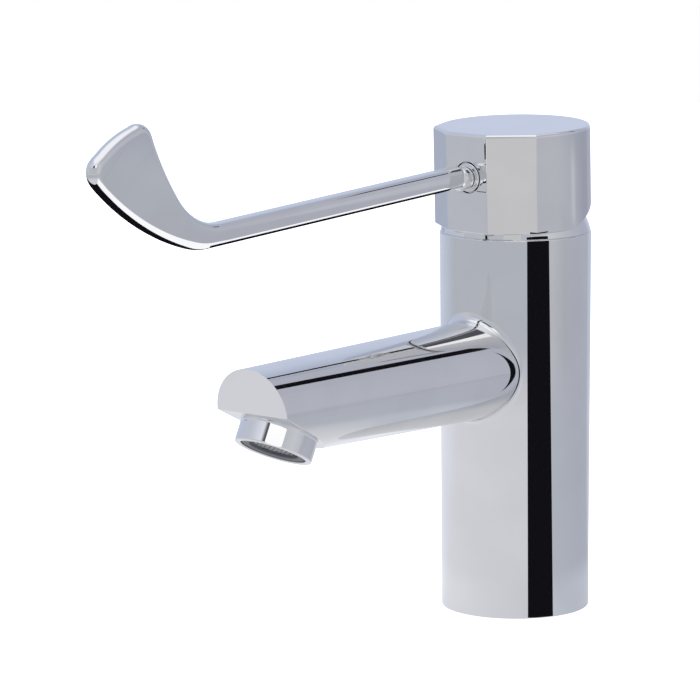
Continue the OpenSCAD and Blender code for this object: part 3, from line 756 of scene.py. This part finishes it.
@dataclass
class Collar:
    """The domed ring between the body and the head, with its skirt inside the body."""

    foot_r: float = 25.4
    ball_r: float = 26.12
    wall: float = 1.6
    mouth_r: float = 17.5
    skirt_r: float = 22.15
    skirt_wall: float = 1.8
    skirt_h: float = 3.7
    step: float = 0.3
    shelf_h: float = 1.2
    seal_half: float = 0.8
    seal_depth: float = 0.9

    def build(self, finishes: Finishes) -> None:
        """Turns the collar with its seal groove.

        Args:
            finishes: the tap's materials.
        """
        top = BODY_TOP
        outer = math.degrees(math.asin((top + self.step - PIVOT_Z) / self.ball_r))
        mouth = math.degrees(math.acos(self.mouth_r / self.ball_r))
        inner_r = self.ball_r - self.wall
        inner_mouth = math.degrees(math.acos(self.mouth_r / inner_r))
        inner_foot = math.degrees(math.asin((top + self.shelf_h - PIVOT_Z) / inner_r))
        seal = top - self.skirt_h / 2
        profile = [
            *arc((0, PIVOT_Z), self.ball_r, outer, mouth, 16),
            *arc((0, PIVOT_Z), inner_r, inner_mouth, inner_foot, 10),
            (self.skirt_r - self.skirt_wall, top + self.shelf_h),
            (self.skirt_r - self.skirt_wall, top - self.skirt_h),
            (self.skirt_r, top - self.skirt_h),
            (self.skirt_r, seal - self.seal_half),
            (self.skirt_r - self.seal_depth, seal - self.seal_half),
            (self.skirt_r - self.seal_depth, seal + self.seal_half),
            (self.skirt_r, seal + self.seal_half),
            (self.skirt_r, top),
            (self.foot_r - self.step, top),
        ]
        piece = Piece.turned("collar", profile, 256).settle()
        piece.hand_over(finishes, "root", "chrome", "cover_collar")


@dataclass
class Head:
    """The handle head: five flats round the front, round at the back, hollow over the collar."""

    flat_r: float = 25.7
    height: float = 33.2
    low: float = BODY_TOP + 2.8
    edge: float = 1.2
    corner: float = 0.15
    rim: float = 0.3
    # The front is drawn out by a share before the flats are cut
    draw_out: float = 1.2
    flat_step: float = 36.0
    last_flat: int = 2
    lift: float = 22.0
    hollow_r: float = 26.47
    hole_r: float = 5.2
    hole_floor: float = 21.4
    hole_edge: float = 0.8
    # How far up the sloping rim of the foot reaches, and how far the drill stands out
    rim_reach: float = 12.0
    overrun: float = 2.0

    def build(self, finishes: Finishes) -> None:
        """Cuts the flats, rounds the edges, hollows the head and drills the lever's hole.

        Args:
            finishes: the tap's materials.
        """
        top, half_fan = self.low + self.height, self.last_flat * self.flat_step
        piece = Piece.circle("head", self.flat_r, self.low, 240, fill=True)
        piece.extrude((0, 0, self.height))
        piece.pick(lambda p: abs(math.degrees(math.atan2(p.x, -p.y))) < half_fan - NEAR)
        piece.resize((self.draw_out, self.draw_out, 1), (0, 0, 0))
        for k in range(-self.last_flat, self.last_flat + 1):
            turn = math.radians(k * self.flat_step)
            normal = Vector((math.sin(turn), -math.cos(turn), 0))
            piece.cut(normal * self.flat_r, normal)
        slope = math.radians(self.lift)
        piece.cut(Vector((0, 0, self.low)), Vector((0, math.sin(slope), -math.cos(slope))))
        bpy.ops.mesh.select_all(action="SELECT")
        bpy.ops.mesh.remove_doubles(threshold=FLUSH)
        piece.pick_sharp(lambda m: m.z > top - NEAR, 60)
        piece.bevel(self.edge, 6, clamp=False)
        piece.pick_sharp(lambda m: self.low + NEAR < m.z < top - NEAR and m.y < 0, 20)
        piece.bevel(self.corner, 2)
        piece.pick_sharp(lambda m: m.z < self.low + self.rim_reach, 45)
        piece.bevel(self.rim, 2)
        piece.settle()
        piece.carve(self.hollow())
        piece.carve(self.hole())
        piece.move(Matrix.Scale(MM, 4) @ on_lever() @ Matrix.Scale(1 / MM, 4))
        piece.hand_over(finishes, "lever", "chrome", "handle_head")

    def hollow(self) -> Piece:
        """Makes the ball about the pivot that the head is hollowed with.

        Returns:
            The ball.
        """
        pole = 89.9
        profile = arc((0, PIVOT_Z), self.hollow_r, -pole, pole, 64)
        low, high = PIVOT_Z - self.hollow_r, PIVOT_Z + self.hollow_r
        return Piece.turned("hollow", [(0, low), *profile, (0, high)], 192).settle()

    def hole(self) -> Piece:
        """Makes the drill for the lever's hole, with a rounded mouth.

        Returns:
            The drill in its place.
        """
        mouth = (self.hole_r + self.hole_edge, self.flat_r - self.hole_edge)
        profile = [
            (0, self.hole_floor),
            (self.hole_r, self.hole_floor),
            *arc(mouth, self.hole_edge, 180, 90, 6),
            (self.hole_r + self.hole_edge, self.flat_r + self.overrun),
            (0, self.flat_r + self.overrun),
        ]
        lean = shift(0, 0, ARM_Z) @ Matrix.Rotation(ARM_LEAN + math.pi / 2, 4, "X")
        return Piece.turned("drill", profile, 96).settle(lean)


@dataclass
class Lever:
    """The lever: a round neck, a flat bar and a paddle that turns up at the end."""

    neck_r: float = 4.0
    neck_in: float = 21.4
    bar_in: float = 29.6
    bar_lift: float = 1.0
    bar_h: float = 7.4
    bar_w: float = 6.9
    bend_y: float = 149.5
    bend_lag: float = 7.7
    paddle_t: float = 5.6
    thinning: float = 30.0
    outer_bend_r: float = 24.5
    outer_r: float = 99.0
    outer_turn: Point = (18.2, 50.8)
    inner_bend_r: float = 23.5
    inner_r: float = 93.0
    inner_turn: Point = (55.8, 74.6)
    low_corner: float = 8.6
    top_corner: float = 6.6
    edge: float = 2.6
    neck_round: float = 2.4
    groove: Point = (27.3, 28.0)
    groove_depth: float = 0.35
    groove_flank: float = 0.2
    ring_r: float = 4.9
    ring_out: float = 25.6
    ring_edge: float = 0.5
    tip_bow: float = 0.8
    # How far the neck runs into the bar, and how much longer than its low corner the tip is
    overlap: float = 2.0
    tip_room: float = 1.15
    steps: int = 30
    corner_steps: int = 10
    bow_cuts: int = 12

    @staticmethod
    def bent(start: Point, radii: Point, turn: Point, t: float) -> Vector:
        """A point of one of the paddle's two edges, which turn up through a tight and a wide arc.

        Args:
            start: where the bend begins, as (y, z).
            radii: radius of the tight and of the wide arc.
            turn: angle at the end of each, in degrees.
            t: share of the edge's length.

        Returns:
            The point in the middle plane.
        """
        first, last = math.radians(turn[0]), math.radians(turn[1])
        tight = radii[0] * first
        way = t * (tight + radii[1] * (last - first))
        a = way / radii[0] if way < tight else first + (way - tight) / radii[1]
        b = min(a, first)
        y = radii[0] * math.sin(b) + radii[1] * (math.sin(a) - math.sin(b))
        z = radii[0] * (1 - math.cos(b)) + radii[1] * (math.cos(b) - math.cos(a))
        return Vector((0, start[0] - y, start[1] + z))

    def station(self, t: float) -> tuple[Vector, Vector]:
        """Finds the two ends of the paddle's cross line at a share of its length.

        Args:
            t: the share, from 0 at the bend to 1 at the tip.

        Returns:
            The points on the outer and on the inner edge.
        """
        z = ARM_Z + self.bar_lift
        outer = (-self.bend_y - self.bend_lag, z - self.bar_h / 2)
        inner = (-self.bend_y, z + self.bar_h / 2)
        return (
            self.bent(outer, (self.outer_bend_r, self.outer_r), self.outer_turn, t),
            self.bent(inner, (self.inner_bend_r, self.inner_r), self.inner_turn, t),
        )

    def width(self, y: float) -> float:
        """Returns the lever's width at a place along it."""
        share = min(1, max(0, (-y - self.bend_y) / self.thinning))
        return self.bar_w + (self.paddle_t - self.bar_w) * share

    def bar(self) -> Piece:
        """Makes bar and paddle: a strip of faces from edge to edge, thickened and rounded.

        Returns:
            Bar and paddle in one.
        """
        low, high = (ARM_Z + self.bar_lift + side * self.bar_h / 2 for side in (-1, 1))
        start = (Vector((0, -self.bar_in, low)), Vector((0, -self.bar_in, high)))
        last = self.station(1)
        tip = self.tip_room * self.low_corner / (last[0] - self.station(0)[0]).length
        shares = [(1 - tip) * i / self.steps for i in range(self.steps + 1)] + [1]
        stations = [start] + [self.station(t) for t in shares]
        piece = Piece.strip("lever", stations)
        for point, radius in ((last[0], self.low_corner), (last[1], self.top_corner)):
            piece.pick(lambda p: (p - point).length < NEAR)
            bpy.ops.mesh.bevel(
                offset=radius, segments=self.corner_steps, affect="VERTICES", clamp_overlap=False
            )
        self.crown_tip(piece, last)
        bpy.ops.mesh.select_all(action="SELECT")
        piece.extrude((1, 0, 0))
        piece.reshape(lambda p: Vector(((p.x - 0.5) * self.width(p.y), p.y, p.z)))
        piece.face_outwards()
        piece.pick_sharp(lambda m: True, 50)
        piece.bevel(self.edge, 8, clamp=False)
        return piece.settle(on_arm())

    def crown_tip(self, piece: Piece, ends: tuple[Vector, Vector]) -> None:
        """Bows the straight part of the paddle's end a little outwards.

        Args:
            piece: the flat strip, in edit mode.
            ends: the outer and the inner end of its last line, before their rounding.
        """
        low, high = ends
        along = (high - low).normalized()
        outward = Vector((0, along.y, along.z)).cross(Axis.X.value)
        outward *= -1 if outward.y > 0 else 1
        straight = (high - low).length - self.low_corner - self.top_corner

        def on_line(point: Vector) -> bool:
            """Says whether a point lies on the strip's end line."""
            return abs((point - low).dot(outward)) < NEAR

        def bowed(point: Vector) -> Vector:
            """Moves a point of the end line out, most in its middle."""
            share = ((point - low).dot(along) - self.low_corner) / straight
            rise = self.tip_bow * max(0, 4 * share * (1 - share))
            return point + outward * rise if on_line(point) else point

        piece.pick_edges(lambda a, b: on_line(a) and on_line(b))
        bpy.ops.mesh.subdivide(number_cuts=self.bow_cuts)
        piece.reshape(bowed)

    def neck(self) -> Piece:
        """Turns the neck: a ring inside the head's hole, and a small groove behind the shoulder.

        Returns:
            The neck, which ends inside the bar.
        """
        r, end, e = self.neck_r, self.bar_in + self.overlap, self.neck_round
        start, stop = self.groove
        floor, flank, rim = r - self.groove_depth, self.groove_flank, self.ring_edge
        profile = [
            (0, self.neck_in),
            (self.ring_r, self.neck_in),
            *arc((self.ring_r - rim, self.ring_out - rim), rim, 0, 90, 4),
            (r, self.ring_out),
            (r, start),
            (floor, start + flank),
            (floor, stop - flank),
            (r, stop),
            *arc((r - e, end - e), e, 0, 80, 8),
            (0, end),
        ]
        lying = on_arm() @ shift(0, 0, ARM_Z) @ Matrix.Rotation(math.pi / 2, 4, "X")
        return Piece.turned("neck", profile, 96).settle(lying)

    def build(self, finishes: Finishes) -> None:
        """Joins neck, bar and paddle.

        Args:
            finishes: the tap's materials.
        """
        piece = self.bar().join(self.neck())
        piece.hand_over(finishes, "lever", "chrome", "lever_arm")


@dataclass
class Aerator:
    """The aerator under the spout: a chromed collar with a lip, and the insert in it."""

    lip_r: float = 13.0
    lip_h: float = 1.1
    r: float = 12.8
    height: float = 7.8
    flats: float = 12.5
    flats_turn: float = 38.0
    thread_r: float = 11.95
    thread_h: float = 9.0
    bore_r: float = 10.8
    insert_r: float = 10.7
    insert_bore: float = 8.7
    insert_recess: float = 0.6
    insert_foot: float = 0.8
    ledge: float = 0.6
    bevel: float = 0.3
    edge: float = 0.5
    lip_edge: float = 0.25
    insert_edge: float = 0.35

    def housing(self) -> Piece:
        """Turns the collar and cuts its two spanner flats, then adds lip and thread.

        Returns:
            The chromed collar.
        """
        low, b = -self.height, self.edge
        profile = [
            (self.bore_r, low + self.bevel),
            (self.bore_r + self.bevel, low),
            *arc((self.r - b, low + b), b, -90, 0, 4),
            (self.r, -b),
            (self.bore_r, -b),
        ]
        piece = Piece.turned("aerator_collar", profile, 192)
        turn = math.radians(self.flats_turn)
        for side in (-1, 1):
            normal = Vector((-math.sin(turn), math.cos(turn), 0)) * side
            piece.cut(normal * self.flats, normal)
        piece.settle(on_aerator())
        e = self.lip_edge
        lip = [
            (self.bore_r, -self.lip_h),
            *arc((self.lip_r - e, -self.lip_h + e), e, -90, 0, 3),
            (self.lip_r, 0),
            (self.thread_r, 0),
            (self.thread_r, self.thread_h),
            (self.bore_r, self.thread_h),
        ]
        return piece.join(Piece.turned("lip", lip, 192).settle(on_aerator()))

    def insert(self) -> Piece:
        """Turns the insert with its rounded rim and the ledge that carries the mesh.

        Returns:
            The insert.
        """
        low, e = -self.height + self.insert_recess, self.insert_edge
        ledge_r = self.insert_bore - self.ledge
        profile = [
            (ledge_r, low + self.insert_foot),
            *arc((ledge_r + e, low + e), e, 180, 270, 4),
            *arc((self.insert_r - e, low + e), e, -90, 0, 4),
            (self.insert_r, self.thread_h),
            (self.insert_bore, self.thread_h),
            (self.insert_bore, low + self.insert_foot),
        ]
        return Piece.turned("aerator_ring", profile, 144).settle(on_aerator())

    def build(self, finishes: Finishes) -> None:
        """Builds collar and insert.

        Args:
            finishes: the tap's materials.
        """
        self.housing().hand_over(finishes, "root", "chrome", "aerator_housing")
        self.insert().hand_over(finishes, "root", "grey_plastic", "aerator_insert")


def dress_inner_parts(finishes: Finishes) -> None:
    """Gives every CAD node that stays in sight or inside the tap its own finish.

    Args:
        finishes: the tap's materials.
    """
    for part in frame["record"]["subparts"]:
        node = frame["nodes"][part["node"]]
        if node.hide_render:
            continue
        node.data.materials.clear()
        node.data.materials.append(finishes.of(part["material_slot"]))
        LOG.info("node %s: %s", part["node"], part["material_slot"])


Ring = tuple[tuple[float, str], ...]


@dataclass(frozen=True)
class Studio:
    """The photo's studio: its camera, soft white surroundings, a pale floor that glows to mirrors in
    painted light and shade, and glowing cards that paint reflections into the chrome.
    """

    eye: tuple[float, float, float] = (905.05, -1165.70, 340.07)
    azimuth: float = 40.0
    elevation: float = 9.705
    roll: float = -0.284
    lens: float = 227.2
    floor_r: float = 1500.0
    floor_drop: float = 0.2
    light_place: tuple[float, float, float] = (-300.0, -500.0, 1100.0)
    light_size: float = 900.0
    light_power: float = 6.0
    # Chrome gives back about four fifths of what it mirrors, so all tones glow that much brighter
    level: float = 1.25
    floor_level: float = 0.8
    # Tones of the glowing cards that paint dark reflections and highlights into the chrome
    black: str = "#100f14"
    white: str = "#f8f9fb"
    # Where one ring of tones gives way to the next: the walls' by height, 0.5 at the horizon and
    # 1 overhead, and the floor's by distance in metres
    wall_steps: tuple[Point, ...] = ((0.46, 0.52), (0.67, 0.72), (0.75, 0.93))
    floor_steps: tuple[Point, ...] = ((0.05, 0.1), (0.36, 0.56), (0.88, 0.98), (1.15, 1.4))
    # Tones by direction, 0 in front and 90 on the right: the walls from low to high, then the
    # floor from the foot outwards. They were set after the photo's colours, followed from its
    # chrome along mirror rays, and corrected, which is an open fault.
    walls: Ring = (
        (-180, "#a5abbd"),
        (-158, "#bcc4d8"),
        (-100, "#b4bccf"),
        (-60, "#b8bdca"),
        (-45, "#bfc0c4"),
        (-30, "#b4b8bf"),
        (50, "#b1b5bc"),
        (95, "#c2c4c9"),
        (120, "#b4b7bf"),
        (140, "#adb0ba"),
        (165, "#a5a9b8"),
    )
    upper_walls: Ring = (
        (-180, "#9ca3b6"),
        (-150, "#b9c1d4"),
        (-90, "#b1b8cc"),
        (-40, "#bfc4d2"),
        (-5, "#d8dbe4"),
        (5, "#55555e"),
        (32, "#55555e"),
        (35, "#ffffff"),
        (53, "#ffffff"),
        (57, "#c4c6cb"),
        (120, "#a9acb5"),
        (158, "#a9acb8"),
    )
    top_walls: Ring = (
        (-180, "#9ca3b6"),
        (-150, "#b9c1d4"),
        (-90, "#b1b8cc"),
        (-40, "#bfc4d2"),
        (-5, "#d8dbe4"),
        (60, "#d8dbe4"),
        (80, "#c4c6cb"),
        (120, "#a9acb5"),
        (158, "#a9acb8"),
    )
    zenith: Ring = ((-180, "#eef0f6"),)
    # The floor's rings: painted light and shade on the floor, in the glow that mirrors see
    foot_floor: Ring = (
        (-180, "#c8cbd4"),
        (-110, "#e2e4ea"),
        (-60, "#d6d8de"),
        (0, "#ced0d5"),
        (60, "#c4c5cb"),
        (100, "#b4b9c4"),
        (160, "#b8bcc8"),
    )
    near_floor: Ring = (
        (-180, "#b4b9c6"),
        (-115, "#d8dae2"),
        (-85, "#d3d6df"),
        (-60, "#cfd0d5"),
        (55, "#c9cacf"),
        (95, "#acb0b9"),
        (160, "#a6a9b6"),
    )
    mid_floor: Ring = (
        (-180, "#b0b7c8"),
        (-110, "#bdc4d4"),
        (-85, "#b4bbca"),
        (-68, "#adb1ba"),
        (50, "#adb1ba"),
        (95, "#b4b5bc"),
        (118, "#a8aab3"),
        (160, "#a6a9b6"),
    )
    far_floor: Ring = (
        (-180, "#a0a4b4"),
        (-110, "#a6adbd"),
        (-60, "#bcbfc6"),
        (-20, "#c1c2c5"),
        (40, "#c1c1c3"),
        (95, "#b2b4bb"),
        (130, "#a8acb5"),
        (135, "#b5b8c0"),
        (139, "#b5b8c0"),
        (143, "#a5a8b3"),
        (165, "#979aa7"),
    )
    end_floor: Ring = (
        (-180, "#a0a4b4"),
        (-110, "#a2aaba"),
        (-60, "#a4a8b1"),
        (40, "#b4b6bb"),
        (95, "#abafb8"),
        (165, "#979aa7"),
    )

    def camera(self) -> None:
        """Stands the camera where the photo was taken from."""
        turn, rise, roll = (math.radians(v) for v in (self.azimuth, self.elevation, self.roll))
        ahead = -Vector(
            (math.sin(turn) * math.cos(rise), -math.cos(turn) * math.cos(rise), math.sin(rise))
        )
        right = ahead.cross(Axis.Z.value).normalized()
        up = right.cross(ahead)
        level = Matrix((right, up, -ahead)).transposed()
        data = bpy.data.cameras.new("camera")
        data.lens = self.lens
        data.sensor_width = 36
        data.clip_start, data.clip_end = 0.05, 50
        camera = bpy.data.objects.new("camera", data)
        camera.matrix_world = (
            Matrix.Translation(Vector(self.eye) * MM) @ (level @ Matrix.Rotation(roll, 3, "Z")).to_4x4()
        )
        bpy.context.scene.collection.objects.link(camera)
        bpy.context.scene.camera = camera

    def surroundings(self) -> None:
        """Lights the room by direction: a ring of pale tones, a dark window in front, white above."""
        world = bpy.data.worlds.new("studio")
        world.use_nodes = True
        bpy.context.scene.world = world
        graph = Graph(world.node_tree)
        ray = graph.add("TexCoord").outputs["Generated"]
        x, y, z = graph.add("SeparateXYZ", {"Vector": ray}).outputs
        rings = (self.walls, self.upper_walls, self.top_walls, self.zenith)
        tone = self.rings(graph, self.bearing(graph, x, y), z, rings, self.wall_steps)
        colour, level = self.white_to_camera(graph, tone, 1.0)
        background = graph.add("Background", {"Color": colour, "Strength": level})
        graph.add("OutputWorld", {"Surface": background})

    def white_to_camera(
        self, graph: Graph, tone: bpy.types.Node, level: float
    ) -> tuple[bpy.types.Node, bpy.types.Node]:
        """Shows the camera white, and the mirrors a tone at their own level.

        Args:
            graph: the tree that the nodes go into.
            tone: the tone for the mirrors.
            level: how bright the camera's white is.

        Returns:
            The colour and its strength.
        """
        seen = graph.add("LightPath").outputs["Is Camera Ray"]
        colour = graph.add("Mix", {0: seen, 6: tone, 7: linear("#ffffff")}, data_type="RGBA")
        sums = {0: seen, 1: level - self.level, 2: self.level}
        return colour, graph.add("Math", sums, operation="MULTIPLY_ADD")

    @staticmethod
    def bearing(graph: Graph, x: bpy.types.NodeSocket, y: bpy.types.NodeSocket) -> bpy.types.Node:
        """Returns a place's direction in radians, 0 in front and a quarter turn on the right."""
        front = graph.add("Math", {0: y, 1: -1.0}, operation="MULTIPLY")
        return graph.add("Math", {0: x, 1: front}, operation="ARCTAN2")

    @classmethod
    def rings(
        cls,
        graph: Graph,
        turn: bpy.types.Node,
        way: bpy.types.Node | bpy.types.NodeSocket,
        rings: tuple[Ring, ...],
        steps: tuple[Point, ...],
    ) -> bpy.types.Node:
        """Returns a tone by direction and by height or distance, from one ring to the next.

        Args:
            graph: the tree that the nodes go into.
            turn: the direction in radians.
            way: the height or the distance.
            rings: the rings in their order.
            steps: for each ring after the first, where it begins to show and where it is full.

        Returns:
            The colour.
        """
        tone = cls.ring(graph, turn, rings[0])
        for tones, (start, end) in zip(rings[1:], steps):
            rise = {"Value": way, "From Min": start, "From Max": end}
            share = graph.add("MapRange", rise, interpolation_type="SMOOTHSTEP")
            both = {0: share, 6: tone, 7: cls.ring(graph, turn, tones)}
            tone = graph.add("Mix", both, data_type="RGBA")
        return tone

    @staticmethod
    def ring(graph: Graph, turn: bpy.types.Node, tones: Ring) -> bpy.types.Node:
        """Returns a tone by direction, blended between the given ones.

        Args:
            graph: the tree that the nodes go into.
            turn: the direction in radians, 0 in front and a quarter turn on the right.
            tones: directions in degrees and their tones, from -180 on.

        Returns:
            The colour.
        """
        share = graph.add("Math", {0: turn, 1: 1 / math.tau, 2: 0.5}, operation="MULTIPLY_ADD")
        node = graph.add("ValToRGB", {"Fac": share})
        stops = node.color_ramp.elements
        stops.remove(stops[-1])
        for i, (angle, tone) in enumerate(tones):
            stop = stops[0] if i == 0 else stops.new(angle / 360 + 0.5)
            stop.position = angle / 360 + 0.5
            stop.color = linear(tone)
        return node

    def floor(self) -> None:
        """Lays the pale floor: white to the camera; to mirrors it glows in painted light and shade,
        light in front, grey farther off and behind.
        """
        Piece.deselect()
        bpy.ops.mesh.primitive_circle_add(vertices=64, radius=self.floor_r * MM, fill_type="NGON")
        floor = bpy.context.object
        floor.name = "floor"
        floor.location.z = -self.floor_drop * MM
        material, graph = new_material("paper_floor")
        place = graph.add("TexCoord").outputs["Object"]
        x, y, _ = graph.add("SeparateXYZ", {"Vector": place}).outputs
        away = graph.add("VectorMath", {0: place}, operation="LENGTH")
        rings = (self.foot_floor, self.near_floor, self.mid_floor, self.far_floor, self.end_floor)
        tone = self.rings(graph, self.bearing(graph, x, y), away, rings, self.floor_steps)
        colour, strength = self.white_to_camera(graph, tone, self.floor_level)
        glow = graph.add("Emission", {"Color": colour, "Strength": strength})
        # A matt share that only the camera sees keeps the tap's shadow on the paper
        seen = graph.add("LightPath").outputs["Is Camera Ray"]
        matt = graph.add("BsdfDiffuse", {"Color": (0.9, 0.9, 0.9, 1)})
        paper = graph.add("MixShader", {0: seen, 2: matt})
        both = graph.add("AddShader", {0: glow, 1: paper})
        graph.add("OutputMaterial", {"Surface": both})
        floor.data.materials.append(material)

    def paint(self, name: str, tone: str, reach: float | None, first_only: bool) -> bpy.types.Material:
        """Makes a card's paint, which glows in its tone on the card's front and is clear from behind.

        Args:
            name: name of the card.
            tone: the colour in which polished chrome shows the card.
            reach: how near a mirror has to be to show the card, in millimetres.
            first_only: whether only the first mirror on a ray's way shows the card.

        Returns:
            The material.
        """
        material, graph = new_material(name)
        hidden = graph.add("NewGeometry").outputs["Backfacing"]
        path = graph.add("LightPath").outputs
        limits = [(path["Glossy Depth"], 1.5)] if first_only else []
        limits += [(path["Ray Length"], reach * MM)] if reach else []
        for value, most in limits:
            past = graph.add("Math", {0: value, 1: most}, operation="GREATER_THAN")
            hidden = graph.add("Math", {0: hidden, 1: past}, operation="MAXIMUM")
        glow = graph.add("Emission", {"Color": linear(tone), "Strength": self.level})
        clear = graph.add("BsdfTransparent")
        surface = graph.add("MixShader", {0: hidden, 1: glow, 2: clear})
        graph.add("OutputMaterial", {"Surface": surface})
        return material

    def card(
        self,
        name: str,
        tone: str,
        corners: list[tuple[float, float, float]],
        place: Matrix = Matrix.Identity(4),
        reach: float | None = None,
        first_only: bool = True,
    ) -> None:
        """Sets up a flat glowing card that only mirrors see, which paints a reflection into the chrome.

        Args:
            name: name of the card.
            tone: the colour in which polished chrome shows it.
            corners: its corners in millimetres, anticlockwise as seen from its front.
            place: where the corners' own frame stands.
            reach: how near a mirror has to be to show the card, in millimetres.
            first_only: whether only the first mirror on a ray's way shows the card.
        """
        count = len(corners)
        piece = Piece.circle(name, 1, 0, count, fill=True)

        def corner(point: Vector) -> Vector:
            """Moves a corner of the circle to the card's corner of the same number."""
            number = round(math.atan2(-point.x, point.y) / math.tau * count)
            return Vector(corners[number % count])

        piece.reshape(corner)
        piece.settle(place)
        card = piece.obj
        card.data.materials.append(self.paint(name, tone, reach, first_only))
        card.visible_camera = False
        card.visible_diffuse = False
        card.visible_shadow = False

    def cards(self) -> None:
        """Stands black, white and grey glowing cards, which only the chrome shows: painted reflections
        and highlights for its steps of tone.
        """
        # The body's black band, a painted dark reflection: an upright card close beside the foot and a
        # short one on the floor
        low, high = (21.15, -18.38), (26.25, -8.58)
        upright = [(*high, -0.1), (*low, -0.1), (20.96, -19.32, 131.2), (25.9, -11.4, 131.2)]
        floor = [(18.7, -16.9, 0.3), (*low, 0.3), (*high, 0.3), (23.4, -9.0, 0.3)]
        self.card("band_painted_reflection", self.black, upright, reach=15)
        self.card("foot_painted_reflection", self.black, floor, reach=15)
        # The grey steps of the head's flats, painted reflections in tones measured in the photo
        flats = (
            ("right_flat_painted_reflection", "#c1c1c3", (36, -36.5), (20.7, -47.5)),
            ("front_flat_painted_reflection", "#b2b5bd", (-6.7, -44.9), (-25.5, -44.9)),
            ("left_flat_painted_reflection", "#a1a9ba", (-39.6, -14.6), (-37.0, -8.2)),
        )
        bottom, top = 125.5, 163
        for name, tone, one, two in flats:
            corners = [(*one, bottom), (*two, bottom), (*two, top), (*one, top)]
            self.card(name, tone, corners, reach=40)
        # The thin black line along the spout, a painted dark reflection
        line = [(159, 447), (282, 485), (400, 742), (268, 668)]
        self.card("spout_line_painted_reflection", self.black, [(x, y, 630) for x, y in reversed(line)], first_only=False)
        # Painted dark reflections and highlights: black and white edges along the lever's bar, and
        # under its paddle
        z = ARM_Z - 5.7
        edges = (("bar_painted_dark_reflection", self.black, -13, 4.2), ("bar_painted_highlight", self.white, 4.2, 9))
        for name, tone, left, right in edges:
            strip = [(right, -33, z), (left, -33, z), (left, -153, z), (right, -153, z)]
            self.card(name, tone, strip, on_arm(), reach=11, first_only=False)
        z = ARM_Z - 12
        under = [(-100, -100), (-110, -225), (22, -225), (-3, -150), (-3, -100)]
        beside = [(-3, -130), (-3, -150), (22, -225), (95, -225), (33, -130)]
        self.card("paddle_painted_dark_reflection", self.black, [(x, y, z) for x, y in under], on_arm())
        self.card("paddle_painted_highlight", self.white, [(x, y, z) for x, y in beside], on_arm())

    def lights(self) -> None:
        """Adds one broad soft light over the tap."""
        data = bpy.data.lights.new("soft_light", "AREA")
        data.shape = "DISK"
        data.size = self.light_size * MM
        data.energy = self.light_power
        light = bpy.data.objects.new("soft_light", data)
        light.location = Vector(self.light_place) * MM
        light.rotation_euler = (-light.location).to_track_quat("-Z", "Y").to_euler()
        light.visible_glossy = False
        bpy.context.scene.collection.objects.link(light)

    def build(self) -> None:
        """Sets up the whole studio."""
        self.camera()
        self.surroundings()
        self.floor()
        self.cards()
        self.lights()
        bpy.context.scene.view_settings.view_transform = "Standard"


def main() -> None:
    """Builds the tap piece by piece and then its studio."""
    logging.basicConfig(level=logging.INFO, format="%(message)s")
    finishes = Finishes()
    for part in (Casting(), Collar(), Head(), Lever(), Aerator()):
        part.build(finishes)
    dress_inner_parts(finishes)
    Studio().build()


if __name__ == "__main__":
    main()
